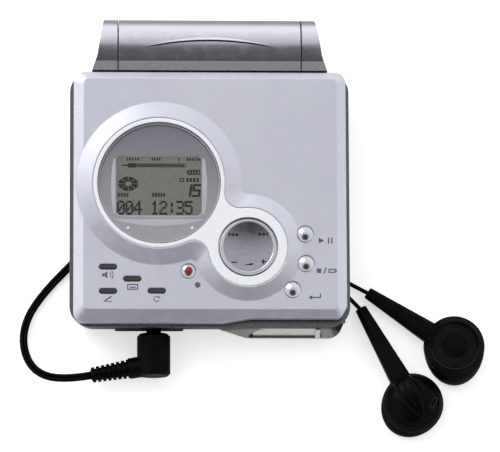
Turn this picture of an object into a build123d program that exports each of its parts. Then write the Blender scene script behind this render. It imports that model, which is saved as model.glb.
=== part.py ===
"""Portable disc recorder with a hinged lid, a round display, a four-way key, a battery hump and earphones.

The recorder lies flat with its display up. +X is to the right of the display, +Y runs from the front edge
to the battery hump, +Z points up. The origin is on the surface that the feet stand on, in the middle of the
recorder's outline. All sizes are in millimetres.
"""
from build123d import *
import math
import os

os.makedirs("parts", exist_ok=True)

# ---------------------------------------------------------------- driving dimensions
# outline
case_side_room = 2.0       # cartridge to the casing's inner side
case_depth = 73.3
case_corner = 6.0
case_inner_corner = 2.5
case_edge = 1.9            # rounding under the casing
case_wall = 1.5
wall_lean = 5.0            # the front and the sides lean in towards the bottom, in degrees
case_floor = 1.1
rear_wall = 2.0
rear_rim_drop = 0.3        # the wall under the lid's rear edge is lower
foot_height = 1.8
foot_radius = 2.9
foot_inset = 6.6           # foot centre to the casing's sides
foot_seat = 0.3
foot_chamfer = 0.4
bottom_screw_side = 4.9    # screw centre to the casing's side
bottom_screw_end = 15.0    # screw centre to the casing's front and rear
mechanism_post = 1.7       # radius of the posts under the mechanism
screw_post = 2.3           # radius of the posts over the underside's screws
parting_z = 12.4           # top of the casing's wall
lip_reach = 2.25           # how far the finger lip stands out of the front
lip_top = 6.6              # height of the lip's outer edge
lip_start = 11.0           # height where the slope down to the lip starts
lip_slope = 32.0           # degrees from upright
lip_undercut = 12.0        # degrees from upright, below the edge
lip_left = 3.0
lip_flat_left = 10.5
lip_flat_right = 36.0
lip_bend = 6.0
lip_end_bend = 4.0
ledge_height = 1.3         # the wall's top edge reaches in under the lid's step
ledge_left = 5.0
ledge_gap = 0.17

# lid
lid_step = 1.05            # the lid's sides stand inside the casing's
lid_depth = 71.6
lid_corner = 3.0
lid_top = 17.6
lid_wall = 1.2
lid_plate = 1.2
lid_gap = 0.2              # between the lid and the casing
bevel_drop = 1.7
bevel_side = 2.7
bevel_rear = 2.1
bevel_front = 3.5
bevel_corner = 1.4
lid_front_wall = 2.7
lid_thick_z = 15.2         # above this height the walls are thicker, behind the bevels
lid_thick = 2.0
lid_inner_corner = 1.8
lid_rear_lift = 0.6         # the rear wall's lower edge is higher
lid_rear_chamfer = 0.6
scallop_depth = 1.25       # the lid's front edge steps back above the finger lip
scallop_left = 3.5
scallop_full = 11.5

# hinge
hinge_inset = 2.35         # hinge axis to the lid's rear edge
hinge_z = 15.0
hinge_pin_radius = 0.5
hinge_pin_length = 6.0
hinge_lug_radius = 0.85
hinge_lug_lean = 26.0
hinge_lug_width = 2.0
hinge_lug_x = 30.6
hinge_arm = 3.2            # length of the leaning arm under a lug's eye
hinge_boss = 1.1
hinge_notch = 0.35         # room round a lug in the lid
running = 0.05             # radial clearance of a turning fit

# battery hump
hump_depth = 15.5
hump_half_front = 33.3
hump_half_middle = 31.8
hump_half_rear = 29.8
hump_middle = 4.1          # from the hump's front to the bend of its sides
hump_corner = 1.6
hump_bottom = 1.45
hump_front = 0.3           # the hump's front reaches this far over the casing's rear wall
hump_round = 3.2
cell_radius = 7.0
cell_length = 50.2
cell_nub_radius = 2.6
cell_nub = 1.0
cell_room = 0.15
cell_z = 9.3
contact_sheet = 0.3
contact_radius = 5.5
hump_wall = 0.8
cover_length = 51.8
cover_gap = 0.15
cover_ledge_z = 15.9       # the low ledge next to the lid
cover_fall = 110.0         # angle on the crown where the slope to the ledge starts, in degrees
cover_split_z = 14.2
cover_pin_z = 3.6
cover_pin_inset = 1.45
cover_pin_radius = 0.5
cover_knuckle_radius = 1.15
grip_half = 18.3           # half the length of the arched thumb ridge
grip_height = 0.45
grip_front_rise = 2.1      # height of the front arc over the ridge's ends
grip_rear_rise = 3.5
grip_end_back = 1.38        # ridge ends in front of the cell's axis

# display
display_x = -14.4
display_y = 3.56           # from the lid's centre
display_base_radius = 23.3
display_crest_radius = 18.9
halo_crest = 1.0           # the raised rings round the display and the key
base_hollow = 2.0          # radius of the hollow curves between them, at the base
crest_hollow = 4.0
trim_step = 0.3            # the trim frame stands inside the crest's edge
trim_depth = 0.5
trim_proud = 0.12          # over the crest
trim_chamfer = 0.3
trim_gap = 0.03
ring_inner = 17.4
window_gap = 0.12          # dark groove between the frame and the window
window_air = 0.05
window_thickness = 0.6
window_chamfer = 0.35
bezel_thickness = 0.4
lcd_width = 24.6
lcd_depth = 17.6
lcd_offset_y = -0.75
lcd_border = 1.4
lcd_corner = 1.9

# four-way key
key_x = 10.56
key_y = -14.7
key_radius = 8.0
key_gap = 0.45
key_base_radius = 15.2
key_crest_radius = 11.5
key_proud = 1.35
key_dish = 0.6
key_flange = 0.9
key_flange_height = 0.6
key_rim = 0.95             # width of the raised rim round the dish
key_hub_bore = 4.6
key_hub_depth = 0.9
key_pad_radius = 5.6       # the four contacts' distance from the key's centre
gimbal_reach = 3.4         # bearings' distance from the key's centre
gimbal_half = 0.4          # half the thickness of a bearing
gimbal_frame = 5.6
gimbal_inside = 4.4

# push buttons: centre from the lid's centre
round_buttons = {
    "play_button": (26.7, -10.9),
    "stop_button": (26.9, -19.3),
    "enter_button": (23.1, -26.7),
    "record_button": (-6.15, -21.5),
}
bar_buttons = {
    "sound_button": (-28.7, -20.3),
    "display_button": (-21.9, -23.7),
    "edit_button": (-28.7, -27.2),
    "mode_button": (-15.05, -27.1),
}
button_radius = 2.2
record_radius = 1.95
button_gap = 0.2
button_proud = 1.05
button_flange = 0.6
button_travel = 0.4
bar_length = 4.7
bar_width = 1.2
bar_proud = 0.25

# inside the lid
flange_height = 0.35
dome_height = 0.2
dome_foot = 1.5
plate_room = 1.2           # inner plate to the lid's walls
plate_post = 1.4           # radius of the posts under the lid
plate_post_side = 5.2      # from the lid's edges
plate_post_rear = 9.2
plate_post_front = 9.4
head_slot_width = 1.6
head_carriage = 2.4        # half the length of the magnetic head's carriage
key_board_z = 14.3
key_board_thickness = 0.6
inner_plate_z = 13.85
inner_plate_thickness = 0.3

# disc, cartridge and carrier
cartridge_side = 4.0       # disc's edge to the cartridge's side
cartridge_depth = 68.0
cartridge_height = 5.0
cartridge_z = 7.4
cartridge_front_room = 1.0
cartridge_wall = 1.0
disc_radius = 32.0
disc_thickness = 1.2
disc_z = 9.3
hub_radius = 5.0
hub_thickness = 0.8
clamp_ring = 8.2           # radius of the raised ring on the disc
window_half = 7.0          # half the width of the cartridge's head window
window_from = 11.0
window_to = 34.0
shutter_thickness = 0.25
holder_sheet = 0.35
holder_room = 0.15
holder_flange = 5.0
holder_ear_x = 29.0
holder_ear = 0.6

# mechanism
chassis_z = 6.0
chassis_thickness = 0.6
chassis_left_inset = 16.0   # from the casing's inner sides
chassis_right_inset = 1.4
chassis_front = -20.2      # from the disc's centre
chassis_rear = 30.0
motor_radius = 8.5
motor_bottom = 3.2
turntable_radius = 4.4
turntable_top = 8.4
spindle_radius = 0.75
shaft_radius = 0.8
shaft_spacing = 26.4
shaft_z = 5.0
shaft_from = 7.0
pickup_x = 20.0
pickup_inward = 4.0
pickup_outward = 10.5
pickup_length = 12.0
pickup_width = 22.0
pickup_bottom = 4.5
pickup_top = 6.75
pickup_ear = 8.0
lens_radius = 1.9
lens_height = 0.35
gear_module = 0.25
screw_gear_teeth = 14
pinion_teeth = 8
gear_width = 1.2
gear_play = 0.04
screw_radius = 1.0
screw_lead = 3.0           # travel of the pickup for one turn
screw_offset = 19.0        # screw axis behind the disc's centre
screw_end_radius = 0.5
screw_grooves = 9
gear_inset = 0.4
pinion_shaft = 0.35
nut_length = 4.0
pickup_bearing = 1.3       # half the height of the pickup's bearings
motor_neck = 2.6
sled_room = 14.0           # length of the opening for the sled motor
sled_motor_radius = 1.75
sled_motor_length = 11.0
board_z = 3.5
board_thickness = 0.8

# sockets, slider and switch
jack_x = -15.7
jack_z = 5.0
jack_bore = 1.8
jack_body_width = 7.0
jack_body_length = 13.8
jack_body_height = 4.1
panel_x = -17.0
panel_width = 19.4
panel_height = 5.0
panel_thickness = 0.9
panel_proud = 0.3
line_in_length = 11.3
power_bore = 1.7
power_length = 7.3
power_pin = 0.45
slider_left = 10.1
slider_slant = 4.2
slider_right = 29.9
slider_height = 3.9
slider_up = 0.44           # the slider's middle line on the slope, as a share of its height
slider_corner = 0.6
slider_overlap = 0.25      # the slider's plate behind the window's edges
slider_room = 0.1
slider_travel = 2.0
slider_plate = 0.5
arm_thickness = 1.0
slider_skin = 0.45
slider_rib = 1.6
socket_half = 2.95
socket_room = 0.45
socket_swing = 3.0         # room behind a socket, as the carrier swings over it
hold_height = 2.2
hold_knob = 2.6
hold_travel = 2.4
hold_play = 0.15
hold_flange = 0.5
hold_z = 6.6
side_jack_rim = 0.5
screw_head_radius = 1.5
screw_head = 0.8
screw_shank = 0.7
screw_cross = 1.6
case_screw_length = 1.6
chassis_screw_length = 2.6
screw_inset = 2.5          # screw centre to the chassis's edges
screw_inset_right = 7.6

# earphones
plug_pin_radius = 1.75
plug_pin_length = 13.3
plug_neck_radius = 2.1
plug_neck = 1.25
plug_radius = 4.7
plug_length = 11.9
arm_tilt = 10.0            # the cord leaves the plug this far from square, in degrees
arm_radius = 2.7
arm_tip_radius = 2.15
arm_length = 13.2
arm_ribs = 8
arm_collar = 2.6
plug_rings = (3.2, 6.4)    # insulating rings, from the pin's tip
cord_width = 2.3
cord_thickness = 1.25
coil_x = -2.0
coil_from_middle = 0.15
coil_radius = 28.4
wire_radius = 0.6
yoke_length = 7.0
yoke_width = 3.6
bud_radius = 8.6
bud_ring_height = 3.0
bud_dome = 5.2
bud_face_radius = 6.6
bud_face_height = 1.2
bud_hole = 0.36
bud_hole_rows = ((4.6, 11), (5.6, 15))     # distance from the middle and count of holes
stem_radius = 2.75
stem_tip_radius = 1.6

# ---------------------------------------------------------------- places worked out from them
cartridge_width = 2 * (disc_radius + cartridge_side)
case_width = cartridge_width + 2 * (case_side_room + case_wall)
lid_width = case_width - 2 * lid_step
body_y = (lip_reach - hump_depth) / 2
case_front = body_y - case_depth / 2
case_rear = body_y + case_depth / 2
inner_front = case_front + case_wall
inner_rear = case_rear - rear_wall
inner_half = case_width / 2 - case_wall
lean = math.tan(math.radians(wall_lean))
socket_in = (parting_z - jack_z) * lean     # the leaning wall stands inside the outline by this at the sockets
socket_front = case_front + socket_in
socket_side = -case_width / 2 + socket_in
hold_side = case_width / 2 - (parting_z - hold_z) * lean
hold_slot = hold_knob + hold_travel + 2 * hold_play
floor_z = foot_height + case_floor
chassis_left = chassis_left_inset - inner_half
chassis_right = inner_half - chassis_right_inset
lid_front = body_y - lid_depth / 2
lid_rear = body_y + lid_depth / 2
lid_bottom = parting_z + lid_gap
lid_ceiling = lid_top - lid_plate
hinge_y = lid_rear - hinge_inset
hump_rear = case_rear + hump_depth
lip_front = case_front - lip_reach
cell_bore = cell_radius + cell_room
hump_radius = cell_bore + hump_wall
cell_y = hump_rear - hump_radius
cover_pin_y = hump_rear - cover_pin_inset
disc_y = inner_front + cartridge_front_room + cartridge_depth / 2
cartridge_top = cartridge_z + cartridge_height
board_top = key_board_z + key_board_thickness
display_centre = (display_x, body_y + display_y)
key_centre = (key_x, body_y + key_y)
line_in_y = case_front + 9.3
power_y = case_front + 65.0
hold_y = case_front + 58.0
flange_top = lid_ceiling - 0.03
flange_low = flange_top - flange_height
button_low = board_top + dome_height + button_travel + 0.05
key_hub_z = lid_ceiling - 0.5
key_flange_top = key_hub_z + key_flange_height
pad_low = board_top + dome_height + 0.3
gimbal_z = board_top + 0.62
gimbal_pin = 0.22
gimbal_eye = 0.37
display_floor = lid_top - 0.1
contact_pocket = 1.1
cover_pin_length = 3.0
shutter_recess = 0.3
shutter_from = 9.0
shutter_span = 25.0
through = 20.0             # a height above the mechanism, where cuts end
hub_hole = 0.8
holder_front = lid_front + lid_front_wall + 0.4
holder_rear_top = 11.6
screw_y = disc_y + screw_offset
gear_pitch = gear_module * screw_gear_teeth / 2
pinion_pitch = gear_module * pinion_teeth / 2
sled_motor_y = screw_y + gear_pitch + pinion_pitch + 0.03
lug_left = 8.2
screw_lug = 5.8
lug_right = chassis_right - 0.8
head_z = disc_z + disc_thickness + 0.4
arm_x = 13.6
arm_size = 2.0
arm_z = 8.0
hook_x = 0.0
plug_face = socket_front - panel_proud - plug_neck
arm_y = plug_face - 8.6
cord_low = 0.12
yoke_low = 0.1
yoke_height = 1.5
coil_y = body_y + coil_from_middle
yoke_centre = (23.6, body_y - 21.45)
yoke_heading = 16.0

# routes of the leads and wires, from the plug to the earphones
cord_z = cord_low + cord_thickness / 2
arm_end = plug_radius + arm_length + 0.7
coil_left = (coil_x - coil_radius, coil_y, cord_z)
cord_start = (
    jack_x - arm_end * math.cos(math.radians(arm_tilt)),
    arm_y - arm_end * math.sin(math.radians(arm_tilt)),
    jack_z,
)


def beside(*points):
    """Points measured in Y from the middle of the case."""
    return [(x, round(y + body_y, 3), z) for x, y, z in points]


lead_front_route = [cord_start] + beside(
    (-42.0, -50.85, 4.7), (-50.6, -47.35, 3.2), (-53.3, -37.35, 1.6), (-48.8, -26.85, 0.85),
    (-33.2, -11.25, cord_z),
) + [coil_left]
lead_rear_route = beside((7.71, -26.54, cord_z), (14.4, -24.15, cord_z), (20.6, -22.25, cord_z))
right_tip, right_head = beside((45.2, -25.05, 1.75), (69.2, -41.15, 0.1))
left_tip, left_head = beside((43.2, -29.65, 1.75), (57.6, -57.05, 0.1))
right_wire_route = beside((26.6, -19.8, 0.75), (32.0, -17.75, 0.75), (38.5, -21.45, 0.85)) + [right_tip]
left_wire_route = beside((26.95, -21.25, 0.75), (32.0, -19.75, 0.75), (37.2, -23.35, 0.85)) + [left_tip]


# ---------------------------------------------------------------- helpers
def block(x0, x1, y0, y1, z0, z1):
    """A box between two corners."""
    return Pos((x0 + x1) / 2, (y0 + y1) / 2, (z0 + z1) / 2) * Box(x1 - x0, y1 - y0, z1 - z0)


def post(x, y, z0, z1, radius):
    """An upright cylinder."""
    return Pos(x, y, (z0 + z1) / 2) * Cylinder(radius, z1 - z0)


def rod_x(x0, x1, y, z, radius):
    """A cylinder along X."""
    return Pos((x0 + x1) / 2, y, z) * Rot(0, 90, 0) * Cylinder(radius, x1 - x0)


def rod_y(x, y0, y1, z, radius):
    """A cylinder along Y."""
    return Pos(x, (y0 + y1) / 2, z) * Rot(90, 0, 0) * Cylinder(radius, y1 - y0)


def slab(width, depth, corner, x, y, z0, z1):
    """An upright prism with a rounded rectangular plan."""
    return Pos(x, y, z0) * extrude(RectangleRounded(width, depth, corner), z1 - z0)


def prism(points, z0, z1):
    """An upright prism over a polygon in plan."""
    return Pos(0, 0, z0) * extrude(make_face(Polyline(*points, close=True)), z1 - z0)


def side_prism(face_yz, x0, x1):
    """A section drawn in Y and Z, carried from x0 to x1."""
    return Pos(x0, 0, 0) * extrude(Plane.YZ * face_yz, x1 - x0)


def frustum(x, y, z0, z1, radius0, radius1):
    """A round boss that narrows upwards."""
    return Pos(x, y, (z0 + z1) / 2) * Cone(radius0, radius1, z1 - z0)


def cap_arc(radius, z_edge, z_middle):
    """An arc from a rim to the axis, its circle centred on the axis. Lower in the middle makes a dish."""
    rise = z_middle - z_edge
    big = (radius ** 2 + rise ** 2) / (2 * abs(rise))
    half = math.asin(radius / big) / 2
    sign = math.copysign(1, rise)
    centre = z_middle - sign * big
    between = (big * math.sin(half), centre + sign * big * math.cos(half))
    return ThreePointArc((radius, z_edge), between, (0, z_middle))


def mirrored(shape):
    """The shape and its mirror image in the middle plane."""
    return shape + mirror(shape, Plane.YZ)


# ---------------------------------------------------------------- lower casing
def front_bulge():
    """The finger lip: it swells out of the front in an S, runs along it and closes round the right corner."""
    outline = FilletPolyline(
        (lip_left - 2, case_front + 4),
        (lip_left, case_front + 0.2),
        (lip_flat_left, lip_front),
        (lip_flat_right, lip_front),
        (case_width / 2 + 0.3, case_front + 6),
        (case_width / 2 - 4, case_front + 12),
        radius=(1.0, lip_bend, lip_end_bend, 2.0),
    )
    close = Line(outline @ 1, outline @ 0)
    face = make_face(Curve() + [outline, close])
    up = extrude(face, lip_start - lip_top, taper=lip_slope)
    down = extrude(face, -(lip_top - foot_height), taper=lip_undercut)
    return Pos(0, 0, lip_top) * (up + down)


def on_side(side, x0, x1, y, z, radius):
    """A cylinder along X between two distances from the middle, on the left or the right side."""
    return rod_x(min(side * x0, side * x1), max(side * x0, side * x1), y, z, radius)


def slope_plane():
    """The slope above the lip, at the slider's middle line: X along it, Z out of it."""
    rise = (lip_start - lip_top) * slider_up
    tilt = math.radians(lip_slope)
    return Plane(
        origin=(0, lip_front + rise * math.tan(tilt), lip_top + rise),
        x_dir=(1, 0, 0),
        z_dir=(0, -math.cos(tilt), math.sin(tilt)),
    )


def slope_block(x0, x1, half, depth, thickness):
    """A flat block lying in the slope, its top face at a depth under it."""
    return slope_plane() * block(x0, x1, -half, half, -depth - thickness, -depth)


def slider_window():
    """The opening that shows the slider and its rib, with a slanted left end and rounded corners."""
    h = slider_height / 2
    right = slider_right + slider_rib
    shape = make_face(
        Polyline((slider_left, -h), (right, -h), (right, h), (slider_left + slider_slant, h), close=True)
    )
    shape = fillet(shape.vertices(), slider_corner)
    return slope_plane() * Pos(0, 0, -slider_skin - 0.2) * extrude(shape, 3)


def screw_places():
    """Centres of the screws that hold the mechanism."""
    left = chassis_left + screw_inset
    right = chassis_right - screw_inset_right
    front = disc_y + chassis_front + screw_inset
    rear = disc_y + chassis_rear - screw_inset
    return [(x, y) for x in (left, right) for y in (front, rear)]


def bottom_screw_places():
    """Centres of the four screws in the underside."""
    x = case_width / 2 - bottom_screw_side
    y = case_depth / 2 - bottom_screw_end
    return [(sx * x, body_y + sy * y) for sx in (-1, 1) for sy in (-1, 1)]


def step_face(behind):
    """The plan of what the lid leaves free above the finger lip, moved to the front by a distance."""
    edge_y = lid_front - behind
    edge = FilletPolyline(
        (scallop_left - 10, edge_y - 0.02),
        (scallop_left, edge_y - 0.02),
        (scallop_full, edge_y + scallop_depth),
        (lid_width / 2 - 1.7, edge_y + scallop_depth),
        (lid_width / 2 + 0.3, edge_y + scallop_depth + 4),
        radius=(lip_bend, lip_bend, 2.0),
    )
    rest = Polyline(edge @ 1, (lid_width, edge_y - 3), (scallop_left - 10, edge_y - 3), edge @ 0)
    return make_face(Curve() + [edge, rest])


def casing_block():
    """The casing's outside. Its front and sides lean in towards the bottom, and its rear stands upright."""
    inward = (parting_z - foot_height) * lean
    top = Pos(0, body_y, parting_z) * RectangleRounded(case_width, case_depth, case_corner)
    low = Pos(0, body_y + inward / 2, foot_height) * RectangleRounded(
        case_width - 2 * inward, case_depth - inward, case_corner
    )
    whole = loft([low, top])
    return fillet(whole.faces().sort_by(Axis.Z)[0].edges(), case_edge)


def casing_ledge():
    """The wall's top edge over the finger lip reaches in and fills the step that the lid leaves."""
    ledge = Pos(0, 0, parting_z - ledge_height) * extrude(step_face(ledge_gap), ledge_height)
    return ledge & block(ledge_left, inner_half + 0.1, inner_front - 0.1, body_y, 0, lid_top)


def add_posts(shell):
    """Posts for the mechanism and for the underside's screws, each with its screw hole."""
    for x, y in screw_places():
        shell = shell + post(x, y, floor_z - 0.2, chassis_z, mechanism_post)
        shell = shell - post(x, y, chassis_z - 2.2, chassis_z + 1, screw_shank)
    for x, y in bottom_screw_places():
        shell = shell + post(x, y, floor_z - 0.2, board_z, screw_post)
        shell = shell - post(x, y, 0, foot_height + screw_head, screw_head_radius + 0.15)
        shell = shell - post(x, y, 0, board_z + 1, screw_shank)
    return shell


def add_hinge_lugs(shell):
    """Two leaning arms on the rear wall, with the eyes of the lid's hinge."""
    half = hinge_lug_width / 2
    for side in (-1, 1):
        x = side * hinge_lug_x
        arm = Pos(0, 0, -hinge_arm / 2) * Box(2 * half, 2 * hinge_lug_radius, hinge_arm)
        arm = Pos(x, hinge_y, hinge_z) * Rot(hinge_lug_lean, 0, 0) * arm
        arm = arm - block(x - half, x + half, inner_front, inner_rear, 0, parting_z + 0.1)
        shell = shell + arm + rod_x(x - half, x + half, hinge_y, hinge_z, hinge_lug_radius)
    return shell - mirrored(rod_x(hinge_lug_x - 3, hinge_lug_x + 3, hinge_y, hinge_z, hinge_pin_radius))


def socket_openings():
    """The openings of the front panel, of the socket behind it, of the side sockets and of the hold switch."""
    panel_back = socket_front + panel_thickness - panel_proud
    half = jack_body_width / 2
    panel = block(
        panel_x - panel_width / 2, panel_x + panel_width / 2, case_front - 1, panel_back,
        jack_z - panel_height / 2, jack_z + panel_height / 2,
    )
    body = block(
        jack_x - half, jack_x + half, panel_back - 0.1, inner_front + 1,
        floor_z, jack_z + jack_body_height / 2,
    )
    line_in = rod_x(-case_width / 2 - 1, -inner_half + 1, line_in_y, jack_z, jack_bore + side_jack_rim)
    power = rod_x(-case_width / 2 - 1, -inner_half + 1, power_y, jack_z, power_bore + side_jack_rim)
    hold = block(
        inner_half - 1, case_width, hold_y - hold_slot / 2, hold_y + hold_slot / 2,
        hold_z - hold_height / 2, hold_z + hold_height / 2,
    )
    return panel + body + line_in + power + hold


def make_lower_casing():
    """The tray that holds everything, with the finger lip, the hinge lugs and the openings."""
    outer = casing_block() + front_bulge()
    cavity = slab(
        2 * inner_half, inner_rear - inner_front, case_inner_corner, 0, (inner_front + inner_rear) / 2,
        floor_z, parting_z + 5,
    )
    rim_z = parting_z - rear_rim_drop
    rim = block(-case_width, case_width, inner_rear - 1, case_rear + 1, rim_z, parting_z + 1)
    shell = outer - cavity - rim - cell_cut() + casing_ledge()
    shell = add_hinge_lugs(add_posts(shell)) - socket_openings()
    # slider: window, channel under the skin and the slot for its arm
    shell = shell - slider_window() - slope_block(
        slider_left - slider_room, slider_right + slider_rib + 0.2,
        slider_height / 2 + slider_overlap + slider_room, slider_skin, slider_plate + 2 * slider_room,
    )
    shell = shell - block(
        arm_x - 0.7 - slider_travel, arm_x + arm_size + 0.3, case_front - 0.3, inner_front + 0.5,
        arm_z - 2 * slider_room, arm_z + arm_thickness + 2 * slider_room,
    )
    for x, y in foot_places():
        shell = shell - post(x, y, 0, foot_height + foot_seat, foot_radius)
    return shell


def foot_places():
    """Centres of the four feet."""
    x = case_width / 2 - foot_inset
    y = case_depth / 2 - foot_inset
    return [(sx * x, body_y + sy * y) for sx in (-1, 1) for sy in (-1, 1)]


def make_feet():
    feet = []
    for x, y in foot_places():
        foot = post(x, y, 0, foot_height + foot_seat, foot_radius - 0.02)
        feet.append(chamfer(foot.faces().sort_by(Axis.Z)[0].edges(), foot_chamfer))
    return Compound(feet)


def pan_screw(x, y, z, length, up):
    """A small screw whose head's flat side is at z. Its head is above z where up is 1, below where it is -1."""
    rise = up * screw_head * 0.75
    head = post(x, y, min(z, z + rise), max(z, z + rise), screw_head_radius - 0.15)
    shank = post(x, y, min(z, z - up * length), max(z, z - up * length), screw_shank - 0.02)
    bar = Box(screw_cross, 0.3, 0.4)
    cross = Pos(x, y, z + rise - up * 0.15) * (bar + Rot(0, 0, 90) * bar)
    return head + shank - cross


# ---------------------------------------------------------------- battery hump
def hump_section():
    """The hump's outline in Y and Z: ledge, slope, round crown, rear and rounded underside."""
    fall = math.radians(cover_fall)
    top = (cell_y + hump_radius * math.cos(fall), cell_z + hump_radius * math.sin(fall))
    drop = top[1] - cover_ledge_z
    ledge_y = top[0] - drop * math.tan(fall - math.pi / 2) ** -1
    front = case_rear - hump_front
    shoulder = parting_z - rear_rim_drop + 0.1
    crown = CenterArc((cell_y, cell_z), hump_radius, 0, cover_fall)
    lines = Polyline(
        top, (ledge_y, cover_ledge_z), (front, cover_ledge_z), (front, shoulder), (case_rear, shoulder),
        (case_rear, foot_height + case_edge), (case_rear + 1.2, hump_bottom),
        (hump_rear - hump_round, hump_bottom),
    )
    under = CenterArc((hump_rear - hump_round, hump_bottom + hump_round), hump_round, -90, 90)
    back = Line((hump_rear, hump_bottom + hump_round), (hump_rear, cell_z))
    return make_face(Curve() + [crown, lines, under, back])


def hump_plan():
    """The hump's plan: its sides bend and narrow to the rear."""
    front = case_rear - hump_front
    points = [
        (hump_half_front, front),
        (hump_half_middle, case_rear + hump_middle),
        (hump_half_rear, hump_rear + 0.5),
    ]
    ring = points + [(-x, y) for x, y in reversed(points)]
    solid = prism(ring, 0, lid_top + 3)
    rear = solid.edges().filter_by(Axis.Z).sort_by(Axis.Y)[-2:]
    return fillet(rear, hump_corner)


def cell_cut():
    return rod_x(-cover_length / 2 - 0.1, cover_length / 2 + 0.1, cell_y, cell_z, cell_bore)


def cover_section():
    """The hinged cover's section: the hump's skin above the split, with a knuckle at its lower rear edge."""
    wide = 2 * hump_depth
    low_front = Pos(cell_y - wide / 2, 0) * Rectangle(wide, 2 * cover_split_z)
    behind = cover_pin_y - cover_knuckle_radius
    low_front = low_front + Pos(behind - wide / 2, 0) * Rectangle(wide, 2 * cell_z)
    low = Pos(cover_pin_y, 0) * Rectangle(4 * hump_depth, 2 * cover_pin_z)
    bore = Pos(cell_y, cell_z) * Circle(cell_bore + 0.1)
    knuckle = Pos(cover_pin_y, cover_pin_z) * Circle(cover_knuckle_radius)
    return hump_section() - low_front - low - bore + knuckle


def thumb_ridge():
    """An arched ridge on the cover, steep on its front side: two arcs that meet in points."""
    end_y = cell_y - grip_end_back
    front = ThreePointArc((-grip_half, end_y), (0, end_y + grip_front_rise), (grip_half, end_y))
    rear = ThreePointArc((grip_half, end_y), (0, end_y + grip_rear_rise), (-grip_half, end_y))
    plan = Pos(0, 0, cell_z) * extrude(make_face(Curve() + [front, rear]), lid_top)
    skin = rod_x(-grip_half, grip_half, cell_y, cell_z, hump_radius + grip_height)
    return plan & skin


def make_battery_cover():
    half = cover_length / 2 - cover_gap
    cover = side_prism(cover_section(), -half, half)
    bore = rod_x(-half - 1, half + 1, cover_pin_y, cover_pin_z, cover_pin_radius + running)
    ridge = thumb_ridge() - cell_cut()
    return cover + ridge - bore


def make_battery_housing():
    """The hump without its cover: two end caps and the cradle of the cell between them."""
    whole = side_prism(hump_section(), -hump_half_front, hump_half_front)
    whole = whole & hump_plan()
    half = cover_length / 2
    ends = whole - block(-half, half, case_rear - 5, hump_rear + 5, 0, lid_top + 5)
    cradle_end = cover_pin_y - cover_knuckle_radius - 0.2
    cradle = whole & block(-half, half, case_rear - 5, cradle_end, 0, cover_split_z - cover_gap)
    housing = ends + cradle - cell_cut()
    for side in (-1, 1):
        contact = on_side(side, half - 0.01, half + contact_pocket, cell_y, cell_z, cell_radius - 1)
        pin_end = half + cover_pin_length / 2
        pin = on_side(side, half - 0.01, pin_end, cover_pin_y, cover_pin_z, cover_pin_radius)
        housing = housing - contact - pin
    return housing


def make_battery_cell():
    left = -cell_length / 2
    right = cell_length / 2 - cell_nub
    can = rod_x(left, right, cell_y, cell_z, cell_radius)
    can = chamfer(can.edges(), 0.5)
    return can + rod_x(right - 0.2, right + cell_nub, cell_y, cell_z, cell_nub_radius)


def make_battery_contacts():
    """A flat plate at the nub's end and a bowed leaf at the other."""
    end = cover_length / 2 + contact_pocket
    plate = rod_x(end - contact_sheet, end, cell_y, cell_z, contact_radius)
    button = rod_x(cell_length / 2, end - 0.2, cell_y, cell_z, 1.8)
    back = rod_x(-end, -end + contact_sheet, cell_y, cell_z, contact_radius)
    cone = Cone(4.0, 2.0, end - cell_length / 2 - 0.1)
    cone = Pos(-(end + cell_length / 2) / 2, cell_y, cell_z) * Rot(0, 90, 0) * cone
    return Compound([plate + button, back + cone])


# ---------------------------------------------------------------- lid
def lid_block():
    """The lid's outside: a rounded block whose top edges are bevelled by different amounts."""
    base = slab(lid_width, lid_depth, lid_corner, 0, body_y, lid_bottom, lid_top - bevel_drop)
    low = Pos(0, body_y, lid_top - bevel_drop) * RectangleRounded(lid_width, lid_depth, lid_corner)
    high = Pos(0, body_y + (bevel_front - bevel_rear) / 2, lid_top) * RectangleRounded(
        lid_width - 2 * bevel_side, lid_depth - bevel_front - bevel_rear, bevel_corner
    )
    return base + loft([low, high])


def twin_outline(display_reach, key_reach, hollow):
    """A ring round the display and one round the key, joined by a hollow curve on either side."""
    first = Vector(*display_centre)
    second = Vector(*key_centre)
    span = (second - first).length
    ahead = (second - first).normalized()
    aside = Vector(-ahead.Y, ahead.X)
    along = ((display_reach + hollow) ** 2 - (key_reach + hollow) ** 2 + span ** 2) / (2 * span)
    out = math.sqrt((display_reach + hollow) ** 2 - along ** 2)
    starts = []
    ends = []
    for side in (-1, 1):
        middle = first + ahead * along + aside * (side * out)
        starts.append(middle + (first - middle).normalized() * hollow)
        ends.append(middle + (second - middle).normalized() * hollow)
    waists = []
    for side, start, end in zip((-1, 1), starts, ends):
        middle = first + ahead * along + aside * (side * out)
        inward = ((start + end) * 0.5 - middle).normalized()
        waists.append(ThreePointArc(start, middle + inward * hollow, end))
    round_display = ThreePointArc(starts[0], first - ahead * display_reach, starts[1])
    round_key = ThreePointArc(ends[0], second + ahead * key_reach, ends[1])
    return make_face(Curve() + [waists[0], round_key, waists[1], round_display])


def raised_halo():
    """The raised ground round the display and the key, with a sloping flank."""
    outline = twin_outline(display_base_radius, key_base_radius, base_hollow)
    ground = Pos(0, 0, lid_top - bevel_drop) * extrude(outline, bevel_drop)
    crest = twin_outline(display_crest_radius, key_crest_radius, crest_hollow)
    return ground + loft([Pos(0, 0, lid_top) * outline, Pos(0, 0, lid_top + halo_crest) * crest], ruled=True)


def trim_outline(room):
    """The trim frame's outline, larger by a clearance."""
    return twin_outline(
        display_crest_radius - trim_step + room, key_crest_radius - trim_step + room,
        crest_hollow + trim_step - room,
    )


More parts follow.
